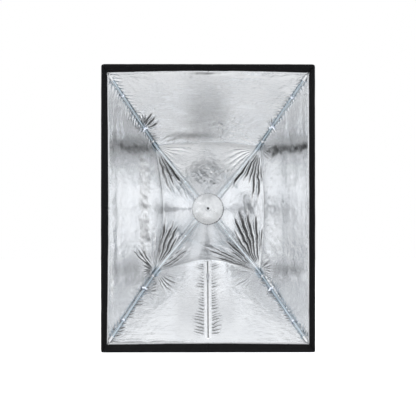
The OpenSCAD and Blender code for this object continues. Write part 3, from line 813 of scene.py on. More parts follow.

# %% [markdown]
# ## The cloth
# A panel is computed as one curved sheet with folds and then cut along its middle into two pieces, one beside
# each rib. The cut must not show, so both halves get the whole panel's own shading normals. A piece has the silver
# lining inside and the black cover outside, sewn shut at the rim.

# %% Panels
CLOTH_INNER, CLOTH_OUTER = 0.00025, 0.00095
BAND_CORNER = 0.028
BAND_MIDDLE = {TOP: 0.020, RIGHT: 0.022, BOTTOM: 0.027, LEFT: 0.025}
ZIP_SLOT = 0.0078
CORNER_ROUND, CORNER_PULL = 0.009, 0.0024


def half_along(side, st, v):
    size = half_w if side in (TOP, BOTTOM) else half_h
    return size[st] * (1 - v) + size[st + 1] * v


def slant(side, st, u):
    """The panel's length from one station to the next."""
    ends = station(side, st + 1, u) - station(side, st, u)
    return np.linalg.norm(ends, axis=-1)


def front_share(side, u):
    """Where the front edge lies, a little back at the corners, which are rounded."""
    off = (1 - np.abs(2 * u - 1)) * half_along(side, KNEE, 1.0)
    return 1 - CORNER_PULL / slant(side, KNEE, u) * np.clip(1 - off / CORNER_ROUND, 0, 1) ** 2


def band_share(side, u):
    """Where the hem band's inner edge lies."""
    corner_line = (front["tl"] - knee["tl"]).length
    corner_part = BAND_CORNER / corner_line
    middle_part = BAND_MIDDLE[side] / slant(side, KNEE, np.array([0.5]))[0]
    off = (2 * u - 1) ** 2
    wave = 0.0007 * line_noise(u * 26, side) / slant(side, KNEE, u)
    return 1 - corner_part * off - middle_part * (1 - off) + wave * (1 - off)


def inward(side, st, u, v, step=1e-4):
    """Unit normals of the smooth shell, pointing into the box."""
    du = shell(side, st, u + step, v) - shell(side, st, u - step, v)
    dv = shell(side, st, u, v + step) - shell(side, st, u, v - step)
    n = np.cross(du, dv)
    n /= np.linalg.norm(n, axis=-1)[..., None]
    middle = n[n.shape[0] // 2, n.shape[1] // 2]
    out = OUT[side]
    return n if middle[0] * out[0] + middle[2] * out[1] < 0 else -n


def folded(side, st, u, v):
    """The lining's face with its folds, and the cover's face behind it."""
    base = shell(side, st, u, v)
    n = inward(side, st, u, v)
    to_corner = (1 - np.abs(2 * u - 1)) * half_along(side, st, v) * 0.78
    length = slant(side, st, u)
    fade = smooth(0.0015, 0.009, to_corner)
    if st == KNEE:
        fade = fade * smooth(0.0, 0.007, v * length) * (1 - smooth(-0.012, 0.0, (v - band_share(side, u)) * length))
    else:
        fade = fade * smooth(0.004, 0.03, v * length) * smooth(0.0, 0.007, (1 - v) * length)
    if (side, st) == (BOTTOM, KNEE):
        fade = fade * smooth(0.0095, 0.014, np.abs(base[..., 0]))
    h = (folds(side, st, base) * fade)[..., None]
    seam = np.minimum(to_corner, np.minimum(v, 1 - v) * length if st == HUB else v * length)
    bead = (0.0007 * (1 - smooth(0.002, 0.005, seam)))[..., None]
    inner = shell(side, st, u, v, CLOTH_INNER) + n * h
    outer = shell(side, st, u, v, CLOTH_OUTER) + n * (h - bead)
    return inner, outer


# Grey bands painted onto the walls' lining as shade, for each wall: middle x and z, half width and half height in
# metres, and how much darker at most.
PAINTED_GREY_BANDS = {
    TOP: [(-0.05, 0.222, 0.075, 0.009, 0.42), (0.0, 0.28, 0.065, 0.075, 0.3), (-0.205, 0.225, 0.02, 0.02, 0.25)],
    RIGHT: [(0.235, 0.178, 0.07, 0.036, 0.42), (0.235, -0.184, 0.05, 0.024, 0.42)],
    BOTTOM: [(-0.055, -0.29, 0.04, 0.07, 0.16), (0.05, -0.3, 0.035, 0.05, 0.12), (-0.17, -0.4, 0.12, 0.006, 0.2)],
    LEFT: [(-0.235, 0.18, 0.075, 0.034, 0.5), (-0.24, -0.184, 0.055, 0.03, 0.42)],
}


# For each panel, the way that counts as the light's side when one flank of each fold is painted darker and the other
# lighter.
LIT_FROM = {
    (TOP, HUB): (0.3, 0, 0.95), (RIGHT, HUB): (-1.0, 0, 0.1),
    (BOTTOM, HUB): (0.2, 0, 0.98), (LEFT, HUB): (1.0, 0, 0.1),
    (TOP, KNEE): (0.86, 0, -0.51), (RIGHT, KNEE): (-0.7, 0, 0.71), (BOTTOM, KNEE): (0.15, 0, 0.99),
    (LEFT, KNEE): (0.7, 0, 0.71),
}


# Painted shade and light along the knee seam, for each panel: below zero darker, above zero lighter.
CREASE = {
    (TOP, HUB): -0.25, (RIGHT, HUB): 0.0, (BOTTOM, HUB): -0.25, (LEFT, HUB): 0.0,
    (TOP, KNEE): 0.16, (RIGHT, KNEE): -0.2, (BOTTOM, KNEE): 0.18, (LEFT, KNEE): -0.3,
}


def painted_shade_of(side, st, p, lining_normals, smooth_normals):
    """Painted shade and painted highlights of the lining. One flank of each fold is painted darker and the other a
    little lighter, along LIT_FROM, which was picked for the front view. The listed grey bands are painted shade,
    and CREASE paints a line along the knee seam, darker on some panels and lighter on others. This is paint, and
    isn't wear or reflection."""
    lean = (lining_normals - smooth_normals) @ np.array(LIT_FROM[side, st])
    deep, early = (0.92, 0.03) if st == HUB else (0.85, 0.04)
    painted_shade = 0.84 * (1 - deep * smooth(early, 0.36, -lean)) + 0.16 * smooth(early, 0.3, lean)
    off = np.abs(p[..., 1] - knee["tl"][1])
    painted_shade = painted_shade * (1 + CREASE[side, st] * np.exp(-((off / 0.010) ** 2)) * (1 + 0.5 * noise(p, 0.05, 141 + side)))
    if st == KNEE:
        band_edge_noise = 0.35 * noise(p, 0.02, 131 + side) + 0.2 * noise(p, 0.008, 135 + side)
        for x, z, wide, tall, deep in PAINTED_GREY_BANDS[side]:
            share = np.exp(-(((p[..., 0] - x) / wide) ** 4)) * np.exp(-(((p[..., 2] - z) / tall) ** 2) * (1 + band_edge_noise))
            painted_shade = painted_shade * (1 - deep * share)
    return painted_shade


def grid_normals(points, like):
    n = np.cross(np.gradient(points, axis=0), np.gradient(points, axis=1))
    n /= np.maximum(np.linalg.norm(n, axis=-1), 1e-12)[..., None]
    return n if (n * like).sum() > 0 else -n


def mesh_of(name, points, faces, materials, slots, uv=None, normals=None):
    """A smooth mesh from arrays of points and four-sided faces."""
    mesh = bpy.data.meshes.new(name)
    mesh.vertices.add(len(points))
    mesh.vertices.foreach_set("co", np.asarray(points, np.float32).ravel())
    mesh.loops.add(4 * len(faces))
    mesh.loops.foreach_set("vertex_index", np.asarray(faces, np.int32).ravel())
    mesh.polygons.add(len(faces))
    mesh.polygons.foreach_set("loop_start", np.arange(0, 4 * len(faces), 4, dtype=np.int32))
    mesh.polygons.foreach_set("material_index", np.asarray(slots, np.int32))
    for material in materials:
        mesh.materials.append(material)
    mesh.update(calc_edges=True)
    mesh.shade_smooth()
    if uv is not None:
        layer = mesh.uv_layers.new(name="cloth")
        layer.data.foreach_set("uv", np.asarray(uv, np.float32)[np.asarray(faces).ravel()].ravel())
    if normals is not None:
        mesh.normals_split_custom_set_from_vertices(normals.tolist())
    obj = bpy.data.objects.new(name, mesh)
    bpy.context.scene.collection.objects.link(obj)
    return obj


def two_faced(name, inner, outer, inner_normals, outer_normals, uv, materials):
    """A closed thin shell from two grids of points, with the first material on the inner one."""
    nu, nv = inner.shape[:2]
    index = np.arange(nu * nv).reshape(nu, nv)
    a, b, c, d = (g.ravel() for g in (index[:-1, :-1], index[1:, :-1], index[1:, 1:], index[:-1, 1:]))
    front_faces = np.stack([a, b, c, d], -1)
    back_faces = front_faces[:, ::-1] + nu * nv
    ring = np.concatenate([index[:-1, 0], index[-1, :-1], index[:0:-1, -1], index[0, :0:-1]])
    after = np.roll(ring, -1)
    rim = np.stack([after, ring, ring + nu * nv, after + nu * nv], -1)
    grid_way = np.cross(inner[1, 0] - inner[0, 0], inner[0, 1] - inner[0, 0])
    faces = np.concatenate([front_faces, back_faces, rim])
    if grid_way @ inner_normals[0, 0] < 0:
        faces = faces[:, ::-1]
    slots = np.r_[np.zeros(len(front_faces)), np.ones(len(back_faces) + len(rim))]
    return mesh_of(
        name,
        np.concatenate([inner.reshape(-1, 3), outer.reshape(-1, 3)]),
        faces, materials, slots,
        uv=np.concatenate([uv.reshape(-1, 2)] * 2),
        normals=np.concatenate([inner_normals.reshape(-1, 3), outer_normals.reshape(-1, 3)]),
    )


def half_panel(side, st, half):
    """One half of a panel, from its middle line to the corner line."""
    name = f"{'wall' if st == KNEE else 'back'}_cloth_{SIDE_NAMES[side]}_{HALVES[side][half]}"
    columns = int(half_along(side, st, 1.0) / GRID[st])
    rows = int(slant(side, st, np.array([0.5]))[0] / GRID[st])
    s, v = np.meshgrid(np.arange(-1, columns + 1) / columns, np.linspace(0, 1, rows + 1), indexing="ij")
    start = np.zeros(v.shape)
    if (side, st) == (BOTTOM, KNEE):
        far = v * slant(side, st, np.array([0.5]))[0]
        start = ZIP_SLOT * smooth(0.004, 0.010, far) * (1 - smooth(ZIP_END - 0.002, ZIP_END + 0.004, far))
    offset = start / (2 * half_along(side, st, v))
    offset = offset + (0.5 - offset) * s
    u = 0.5 + (offset if half else -offset)
    if st == KNEE:
        v = v * front_share(side, np.clip(u, 0, 1))
    inner, outer = folded(side, st, u, v)
    n = inward(side, st, u, v)
    inner_normals, outer_normals = grid_normals(inner, n), grid_normals(outer, -n)
    uv = np.stack([(2 * u - 1) * half_along(side, st, 1.0), v * slant(side, st, np.clip(u, 0, 1))], -1)
    # The lining's painted shade and highlights, kept on its points as an attribute for the shader.
    painted_shade = painted_shade_of(side, st, inner, inner_normals, n)[1:].ravel()
    grids = (g[1:] for g in (inner, outer, inner_normals, outer_normals, uv))
    piece = two_faced(name, *grids, [silver, cover])
    shown = piece.data.attributes.new("painted_shade", "FLOAT", "POINT")
    shown.data.foreach_set("value", np.tile(painted_shade, 2).astype(np.float32))
    return piece


ZIP_END = ZIP_SHARE * slant(BOTTOM, KNEE, np.array([0.5]))[0]
cloth = {}
for side in range(4):
    for st in (HUB, KNEE):
        for half in (0, 1):
            cloth[side, st, half] = half_panel(side, st, half)
print("cloth pieces:", len(cloth), "triangles:", sum(2 * len(o.data.polygons) for o in cloth.values()))

# %% [markdown]
# ## Stitches and other rows
# Stitches, teeth and the like repeat along a line, so one Geometry Nodes tree makes them all. It turns a row of
# points into a curve, sets small rods on it at an even spacing, and makes them real. Every other one may stand
# aside, as a zip's teeth do. The result is baked into a plain mesh, because the export drops instances.

# %% The row tree
def row_tree():
    tree = bpy.data.node_groups.new("row_of_rods", "GeometryNodeTree")
    face = tree.interface
    face.new_socket("Path", in_out="INPUT", socket_type="NodeSocketGeometry")
    for name in ("Spacing", "Rod Length", "Rod Radius", "Lean", "Sidestep"):
        face.new_socket(name, in_out="INPUT", socket_type="NodeSocketFloat")
    face.new_socket("Across", in_out="INPUT", socket_type="NodeSocketVector")
    face.new_socket("Finish", in_out="INPUT", socket_type="NodeSocketMaterial")
    face.new_socket("Row", in_out="OUTPUT", socket_type="NodeSocketGeometry")
    node = {kind: tree.nodes.new(kind) for kind in (
        "NodeGroupInput", "NodeGroupOutput", "GeometryNodeMeshToCurve", "GeometryNodeCurveToPoints",
        "GeometryNodeMeshCylinder", "GeometryNodeInstanceOnPoints", "GeometryNodeSetPosition",
        "GeometryNodeRealizeInstances", "GeometryNodeSetMaterial", "GeometryNodeInputIndex",
        "ShaderNodeVectorMath", "FunctionNodeRotateRotation", "FunctionNodeAxisAngleToRotation")}
    given, link = node["NodeGroupInput"].outputs, tree.links.new
    link(given["Path"], node["GeometryNodeMeshToCurve"].inputs["Mesh"])
    points = node["GeometryNodeCurveToPoints"]
    points.mode = "LENGTH"
    link(node["GeometryNodeMeshToCurve"].outputs["Curve"], points.inputs["Curve"])
    link(given["Spacing"], points.inputs["Length"])
    even = tree.nodes.new("ShaderNodeMath")
    even.operation = "MODULO"
    even.inputs[1].default_value = 2
    link(node["GeometryNodeInputIndex"].outputs[0], even.inputs[0])
    part = tree.nodes.new("ShaderNodeMath")
    part.operation = "MULTIPLY_ADD"
    part.inputs[1].default_value = 2
    part.inputs[2].default_value = -1
    link(even.outputs[0], part.inputs[0])
    aside = tree.nodes.new("ShaderNodeMath")
    aside.operation = "MULTIPLY"
    link(part.outputs[0], aside.inputs[0])
    link(given["Sidestep"], aside.inputs[1])
    step = node["ShaderNodeVectorMath"]
    step.operation = "SCALE"
    link(given["Across"], step.inputs[0])
    link(aside.outputs[0], step.inputs["Scale"])
    moved = node["GeometryNodeSetPosition"]
    link(points.outputs["Points"], moved.inputs["Geometry"])
    link(step.outputs[0], moved.inputs["Offset"])
    rod = node["GeometryNodeMeshCylinder"]
    rod.inputs["Vertices"].default_value = 6
    link(given["Rod Radius"], rod.inputs["Radius"])
    link(given["Rod Length"], rod.inputs["Depth"])
    lean = node["FunctionNodeAxisAngleToRotation"]
    lean.inputs["Axis"].default_value = (1, 0, 0)
    link(given["Lean"], lean.inputs["Angle"])
    turned_rod = node["FunctionNodeRotateRotation"]
    turned_rod.rotation_space = "LOCAL"
    link(points.outputs["Rotation"], turned_rod.inputs["Rotation"])
    link(lean.outputs[0], turned_rod.inputs["Rotate By"])
    copies = node["GeometryNodeInstanceOnPoints"]
    link(moved.outputs[0], copies.inputs["Points"])
    link(rod.outputs["Mesh"], copies.inputs["Instance"])
    link(turned_rod.outputs[0], copies.inputs["Rotation"])
    real = node["GeometryNodeRealizeInstances"]
    link(copies.outputs[0], real.inputs[0])
    done = node["GeometryNodeSetMaterial"]
    link(real.outputs[0], done.inputs["Geometry"])
    link(given["Finish"], done.inputs["Material"])
    link(done.outputs[0], node["NodeGroupOutput"].inputs[0])
    return tree


ROW_TREE = row_tree()
ROW_INPUT = {item.name: item.identifier for item in ROW_TREE.interface.items_tree if item.in_out == "INPUT"}


def plain_mesh(obj):
    """The evaluated mesh of an object, as a plain one. The object itself is removed."""
    bpy.context.view_layer.update()
    mesh = bpy.data.meshes.new_from_object(obj.evaluated_get(bpy.context.evaluated_depsgraph_get()))
    bpy.data.objects.remove(obj)
    return mesh


def row_of_rods(paths, spacing, length, radius, material, lean=0.0, sidestep=0.0, across=(1, 0, 0)):
    """Rods along some paths, each a list of points, as a mesh."""
    points, edges = [], []
    for path_points in paths:
        edges += [(len(points) + i, len(points) + i + 1) for i in range(len(path_points) - 1)]
        points += [tuple(p) for p in path_points]
    data = bpy.data.meshes.new("row_path")
    data.from_pydata(points, edges, [])
    obj = bpy.data.objects.new("row_path", data)
    bpy.context.scene.collection.objects.link(obj)
    modifier = obj.modifiers.new("row", "NODES")
    modifier.node_group = ROW_TREE
    values = {"Spacing": spacing, "Rod Length": length, "Rod Radius": radius, "Lean": lean, "Sidestep": sidestep,
              "Across": across, "Finish": material}
    for name, value in values.items():
        modifier[ROW_INPUT[name]] = value
    return plain_mesh(obj)


def joined(name, meshes):
    """One object from several meshes, each with its own materials and its UV map."""
    points, faces, slots, materials, uvs = [], [], [], [], []
    for mesh in meshes:
        base = sum(len(p) for p in points)
        own = np.zeros((len(mesh.vertices), 3), np.float32)
        mesh.vertices.foreach_get("co", own.ravel())
        points.append(own)
        layer = mesh.uv_layers.active
        for poly in mesh.polygons:
            faces.append([base + v for v in poly.vertices])
            uvs += [tuple(layer.data[i].uv) for i in poly.loop_indices] if layer else [(0.0, 0.0)] * poly.loop_total
            material = mesh.materials[poly.material_index]
            if material not in materials:
                materials.append(material)
            slots.append(materials.index(material))
    whole = bpy.data.meshes.new(name)
    whole.from_pydata(np.concatenate(points).tolist(), [], faces)
    for material in materials:
        whole.materials.append(material)
    whole.polygons.foreach_set("material_index", np.array(slots, np.int32))
    whole.uv_layers.new(name="cloth").data.foreach_set("uv", np.array(uvs, np.float32).ravel())
    whole.shade_smooth()
    obj = bpy.data.objects.new(name, whole)
    bpy.context.scene.collection.objects.link(obj)
    return obj


print("row tree inputs:", list(ROW_INPUT))

# %% [markdown]
# ## The hem
# The front edge is bound with a wide black loop tape that is folded over the cloth. Inside it is the band that
# frames the picture, and a diffuser would stick to it. A row of profiles along each side makes the fold, from the
# band's inner edge round the front and back on the outside. It waves a little between its stitches.

# %% Hem
HEM_STEP = 0.004
HEM_OUTSIDE = 0.018
FACING_WIDTH = 0.0052
PROFILE_INSIDE = [(1.0, 0.00015), (0.5, 0.00015), (0.0, 0.00005), (-0.03, -0.0003), (0.0, -0.0008),
                  (0.06, -0.00115), (0.12, -0.0009), (0.18, -0.0012), (0.5, -0.0013), (0.85, -0.0013), (1.0, -0.0013)]
PROFILE_FRONT = [(0.0011, -0.0011), (0.0021, -0.0005), (0.0026, 0.0003), (0.0024, 0.0011), (0.0016, 0.0018)]
PROFILE_OUTSIDE = [(0.0, 0.0021), (0.3, 0.0021), (0.8, 0.0021), (0.88, 0.0018), (0.94, 0.0021), (1.0, 0.0018),
                   (1.02, 0.0015), (1.0, 0.0011), (0.5, 0.0011), (0.0, 0.0011)]
PROFILE_INNER_END = [(0.0009, 0.0010), (0.0011, 0.0006), (0.0007, 0.0002)]


def closed_sweep(name, profiles, materials, uv):
    """A closed tube through a row of closed profiles, with its two ends capped."""
    profiles = np.asarray(profiles)
    n, m = profiles.shape[:2]
    index = np.arange(n * m).reshape(n, m)
    a, b = index[:-1], index[1:]
    quads = np.stack([a, np.roll(a, -1, 1), np.roll(b, -1, 1), b], -1).reshape(-1, 4).tolist()
    faces = quads + [index[0, ::-1].tolist(), index[-1].tolist()]
    mesh = bpy.data.meshes.new(name)
    mesh.from_pydata(profiles.reshape(-1, 3).tolist(), [], faces)
    for material in materials:
        mesh.materials.append(material)
    layer = mesh.uv_layers.new(name="cloth")
    flat_uv = np.asarray(uv, np.float32).reshape(-1, 2)
    layer.data.foreach_set("uv", flat_uv[[v for f in faces for v in f]].ravel())
    whole = bmesh.new()
    whole.from_mesh(mesh)
    bmesh.ops.recalc_face_normals(whole, faces=whole.faces)
    whole.to_mesh(mesh)
    return mesh


def facing_strip(side, u, edge):
    """The lining's own edge, turned up along the band so that it faces out of the box."""
    turned = FACING_WIDTH * (0.8 + 0.35 * line_noise(u * 9, side + 21)) * smooth(0, 0.03, (1 - np.abs(2 * u - 1)))
    base = shell(side, KNEE, u, edge + 0.0012 / slant(side, KNEE, u), -0.0009)
    inside = np.array([-OUT[side][0], 0.0, -OUT[side][1]])
    wave = 0.0006 * line_noise(u * 24, side + 25)
    rows = []
    for share, drop, thick in ((0, 0, 0), (0.35, 0.0002, 0), (0.7, 0.0001, 0), (1, -0.0002, 0), (1.03, 0, 0.0003),
                               (1, -0.0001, 0.0006), (0.5, 0, 0.0006), (0, 0, 0.0006)):
        shift = inside * (turned * share)[:, None]
        rows.append(base + shift + np.array([0, 1, 0]) * (drop + thick + share * wave)[:, None])
    profiles = np.stack(rows, 1)
    uv = np.stack([np.broadcast_to(((2 * u - 1) * half_along(side, KNEE, 1.0))[:, None], profiles.shape[:2]),
                   np.broadcast_to(np.linspace(0, 2 * FACING_WIDTH, profiles.shape[1])[None, :],
                                   profiles.shape[:2])], -1)
    return closed_sweep("facing", profiles, [facing_cloth], uv)


def hem_half(side, half):
    corner = HALVES[side][half]
    name = f"hem_{SIDE_NAMES[side]}_{corner}"
    count = int(half_along(side, KNEE, 1.0) / HEM_STEP)
    u = 0.5 + (0.5 if half else -0.5) * np.linspace(0, 1, count + 1)
    length, edge, last = slant(side, KNEE, u), band_share(side, u), front_share(side, u)
    sway = 0.00035 * line_noise(u * 31, side + 5)
    off = (1 - np.abs(2 * u - 1)) * half_along(side, KNEE, 1.0)
    tuck = np.clip(1 - off / CORNER_ROUND, 0, 1) ** 2

    def row(v, layer, share=1.0):
        return shell(side, KNEE, u, v, layer + share * sway)

    rows = [row(edge + (last - edge) * s, layer - 0.0003 * (s > 0.9), 0.3) for s, layer in PROFILE_INSIDE]
    rows += [row(last + d / length, layer - 0.0004 * tuck) for d, layer in PROFILE_FRONT]
    rows += [row(last - s * HEM_OUTSIDE / length, layer - 0.0004 * tuck, 0.5 * (layer > 0.0012))
             for s, layer in PROFILE_OUTSIDE]
    rows += [row(last + d / length, layer, 0.0) for d, layer in PROFILE_INNER_END]
    profiles = np.stack(rows, 1)
    lengths = np.cumsum(np.linalg.norm(np.diff(profiles, axis=1), axis=-1), 1)
    uv = np.stack([np.broadcast_to(((2 * u - 1) * half_along(side, KNEE, 1.0))[:, None], profiles.shape[:2]),
                   np.concatenate([np.zeros((len(u), 1)), lengths], 1)], -1)
    body = closed_sweep(name, profiles, [hem_cloth], uv)
    facing = facing_strip(side, u, edge)
    seams = [row(edge + 0.0028 / length, -0.00115, 0.3), row(last - 0.88 * HEM_OUTSIDE / length, 0.0021, 0.5)]
    thread = row_of_rods(seams, 0.0038, 0.0026, 0.00022, black_thread)
    return joined(name, [body, facing, thread])


hem = {(side, half): hem_half(side, half) for side in range(4) for half in (0, 1)}
print("hem pieces:", len(hem), "faces:", sum(len(o.data.polygons) for o in hem.values()))

# %% [markdown]
# ## The zip for the stand
# The slit in the bottom wall is closed by a coil zip on silver tapes. The tapes are sewn over the slit's edges and
# stand up a little beside the teeth. The teeth come from the row tree, laid across and stepping aside in turn.

# %% Zip
TAPE_WIDTH, TAPE_THICK = 0.009, 0.0006
zip_way = (shell_point(BOTTOM, KNEE, 0.5, 1.0) - zip_start).normalized()
zip_up = Vector((1, 0, 0)).cross(zip_way).normalized()
zip_up = zip_up if zip_up.y < 0 else -zip_up
zip_from, zip_to = 0.006, ZIP_END


def zip_point(x, along, up):
    return zip_start + Vector((x, 0, 0)) + zip_way * along + zip_up * up


def tape(sign):
    name = f"zip_tape_{'right' if sign > 0 else 'left'}_woven"
    across = [(0.0013, 0.0), (0.0016, 0.0007), (0.0026, 0.0009), (0.0034, 0.0002), (0.0045, 0.00002), (0.0065, 0.0),
              (0.0088, -0.00005), (TAPE_WIDTH, -0.0002)]
    count = 120
    profiles, uv = [], []
    for i in range(count + 1):
        along = zip_from + (zip_to - zip_from) * i / count
        wave = 0.0005 * math.sin(i * 1.7 + sign) + 0.0003 * math.sin(i * 0.61)
        top = [zip_point(sign * x, along, -0.00025 + up + wave * x / TAPE_WIDTH) for x, up in across]
        under = [zip_point(sign * x, along, -0.00025 - TAPE_THICK + 0.3 * up + wave * x / TAPE_WIDTH)
                 for x, up in reversed(across)]
        profiles.append(top + under)
        uv.append([(x, along) for x, _ in across] + [(x, along) for x, _ in reversed(across)])
    body = closed_sweep(name, profiles, [silver_tape], uv)
    seam = [zip_point(sign * 0.0072, zip_from + 0.002 + (zip_to - zip_from - 0.004) * i / 80, -0.0002)
            for i in range(81)]
    return joined(name, [body, row_of_rods([seam], 0.003, 0.0021, 0.00018, silver_thread)])


zip_tapes = {sign: tape(sign) for sign in (-1, 1)}
teeth_line = [zip_point(0, zip_from + 0.004, 0.0003), zip_point(0, zip_to - 0.004, 0.0003)]
teeth = joined("zip_coil", [row_of_rods([teeth_line], 0.0024, 0.0044, 0.0008, black_plastic,
                                        lean=math.pi / 2, sidestep=0.00055)])
spread = np.ptp(np.array([v.co for v in teeth.data.vertices]), axis=0)
print("zip teeth spread:", spread.round(4))

# %% [markdown]
# ## The rosette
# A pinked satin disc is sewn over the hub. A Geometry Nodes tree turns a flat grid into it: the grid's columns
# become angles and its rows become rings, the rim gets its zigzag, and the disc rises to a dome round the shaft.
# The tree also swells it in five soft lobes, and afterwards the points are shifted a little with noise, so that the
# satin puckers a little.

# %% Rosette
ROSETTE_RADIUS, ROSETTE_HOLE, ROSETTE_TEETH, ROSETTE_PINK = 0.049, 0.0059, 42, 0.0032
rosette_low, rosette_high = low["rosette"], high["rosette"]
ROSETTE_RISE = 0.7 * (rosette_high[1] - rosette_low[1])


def math_node(tree, operation, a, b=None, c=None):
    node = tree.nodes.new("ShaderNodeMath")
    node.operation = operation
    for socket, value in zip(node.inputs, (a, b, c)):
        if value is None:
            continue
        if hasattr(value, "links") or hasattr(value, "is_output"):
            tree.links.new(value, socket)
        else:
            socket.default_value = value
    return node.outputs[0]


def rosette_tree():
    tree = bpy.data.node_groups.new("pinked_disc", "GeometryNodeTree")
    face = tree.interface
    for name in ("Radius", "Hole", "Teeth", "Pink", "Rise", "Pucker", "Lip"):
        face.new_socket(name, in_out="INPUT", socket_type="NodeSocketFloat")
    face.new_socket("Finish", in_out="INPUT", socket_type="NodeSocketMaterial")
    face.new_socket("Disc", in_out="OUTPUT", socket_type="NodeSocketGeometry")
    given = tree.nodes.new("NodeGroupInput").outputs
    grid = tree.nodes.new("GeometryNodeMeshGrid")
    grid.inputs["Size X"].default_value = 1
    grid.inputs["Size Y"].default_value = 1
    grid.inputs["Vertices X"].default_value = ROSETTE_TEETH * 8 + 1
    grid.inputs["Vertices Y"].default_value = 26
    where = tree.nodes.new("ShaderNodeSeparateXYZ")
    tree.links.new(tree.nodes.new("GeometryNodeInputPosition").outputs[0], where.inputs[0])
    turn = math_node(tree, "MULTIPLY_ADD", where.outputs[0], 2 * math.pi, math.pi)
    share = math_node(tree, "ADD", where.outputs[1], 0.5)
    tooth = math_node(tree, "COSINE", math_node(tree, "MULTIPLY", turn, given["Teeth"]))
    near_rim = math_node(tree, "POWER", share, 12.0)
    pink = math_node(tree, "MULTIPLY", math_node(tree, "MULTIPLY", given["Pink"], near_rim),
                     math_node(tree, "MULTIPLY_ADD", tooth, 0.5, -0.5))
    width = math_node(tree, "SUBTRACT", given["Radius"], given["Hole"])
    radius = math_node(tree, "ADD", math_node(tree, "MULTIPLY_ADD", width, share, given["Hole"]), pink)
    lobes = math_node(tree, "COSINE", math_node(tree, "MULTIPLY_ADD", turn, 5.0, 0.9))
    swell = math_node(tree, "MULTIPLY", math_node(tree, "MULTIPLY", lobes, given["Pucker"]),
                      math_node(tree, "SINE", math_node(tree, "MULTIPLY", share, math.pi)))
    dome = math_node(tree, "SUBTRACT", 1.0, math_node(tree, "POWER", share, 3.2))
    lip = math_node(tree, "MULTIPLY", given["Lip"], math_node(tree, "POWER", share, 22.0))
    lift = math_node(tree, "ADD", math_node(tree, "MULTIPLY_ADD", given["Rise"], dome, lip), swell)
    put = tree.nodes.new("ShaderNodeCombineXYZ")
    tree.links.new(math_node(tree, "MULTIPLY", radius, math_node(tree, "COSINE", turn)), put.inputs[0])
    tree.links.new(math_node(tree, "MULTIPLY", radius, math_node(tree, "SINE", turn)), put.inputs[2])
    tree.links.new(math_node(tree, "MULTIPLY", lift, -1.0), put.inputs[1])
    moved = tree.nodes.new("GeometryNodeSetPosition")
    tree.links.new(grid.outputs["Mesh"], moved.inputs["Geometry"])
    tree.links.new(put.outputs[0], moved.inputs["Position"])
    merged = tree.nodes.new("GeometryNodeMergeByDistance")
    merged.inputs["Distance"].default_value = 1e-5
    tree.links.new(moved.outputs[0], merged.inputs["Geometry"])
    real = tree.nodes.new("GeometryNodeRealizeInstances")
    tree.links.new(merged.outputs[0], real.inputs[0])
    done = tree.nodes.new("GeometryNodeSetMaterial")
    tree.links.new(real.outputs[0], done.inputs["Geometry"])
    tree.links.new(given["Finish"], done.inputs["Material"])
    tree.links.new(done.outputs[0], tree.nodes.new("NodeGroupOutput").inputs[0])
    return tree


PINKED = rosette_tree()
PINKED_INPUT = {item.name: item.identifier for item in PINKED.interface.items_tree if item.in_out == "INPUT"}


def pinked_disc(thickness, aside, front, **values):
    """A pinked disc of cloth as a mesh, with its foremost point at a given depth."""
    obj = bpy.data.objects.new("disc_seed", bpy.data.meshes.new("disc_seed"))
    bpy.context.scene.collection.objects.link(obj)
    modifier = obj.modifiers.new("disc", "NODES")
    modifier.node_group = PINKED
    for name, value in values.items():
        modifier[PINKED_INPUT[name]] = value
    solid = obj.modifiers.new("cloth", "SOLIDIFY")
    solid.thickness, solid.offset = thickness, 0
    mesh = plain_mesh(obj)
    points = np.zeros((len(mesh.vertices), 3), np.float32)
    mesh.vertices.foreach_get("co", points.ravel())
    points[:, 1] += front - points[:, 1].min() + 0.00012 * noise(points, 0.013, 7)
    mesh.vertices.foreach_set("co", (points + np.array([aside[0], 0, aside[1]], np.float32)).ravel())
    return mesh


face_disc = pinked_disc(0.0006, (0, 0), rosette_low[1] + 0.0004, Radius=ROSETTE_RADIUS, Hole=ROSETTE_HOLE,
                        Teeth=float(ROSETTE_TEETH), Pink=ROSETTE_PINK, Rise=ROSETTE_RISE, Pucker=0.0003, Lip=0.0013,
                        Finish=rosette_cloth)
seat = BVHTree.FromPolygons([tuple(v.co) for v in face_disc.vertices],
                            [tuple(p.vertices) for p in face_disc.polygons])
rosette_seam = []
for turn in np.linspace(0, 2 * math.pi, 121):
    above = Vector((0.0425 * math.cos(turn), -1, 0.0425 * math.sin(turn)))
    rosette_seam.append(seat.ray_cast(above, Vector((0, 1, 0)))[0] + Vector((0, -0.0002, 0)))
rosette_thread = row_of_rods([rosette_seam], 0.0032, 0.0022, 0.0002, silver_thread)
rosette = joined("rosette_satin_disc", [face_disc, rosette_thread])
# A black cloth disc behind the rosette, set a little off to one side, so that a dark ring shows beyond its teeth:
# partly the cloth's dark back, partly a painted shadow under the rim.
back_and_shadow = joined("rosette_back_and_shadow", [pinked_disc(
    0.0006, (0.0008, -0.0004), rosette_high[1] - 0.0028, Radius=ROSETTE_RADIUS, Hole=0.043,
    Teeth=float(ROSETTE_TEETH), Pink=ROSETTE_PINK * 0.6, Rise=0.0006, Pucker=0.0001, Lip=0.0, Finish=cover)])
print("rosette faces:", len(rosette.data.polygons), "bounds:",
      [tuple(round(c, 4) for c in rosette.bound_box[i]) for i in (0, 6)])

# %% [markdown]
# ## Ties, pockets and loops
# Each outer rod is tied to the lining by a ribbon: a flat wrap round the rod, a knot and two short tails. The knee
# end of each rod sits in a sewn loop, and the front end in a pocket of the same silver cloth.

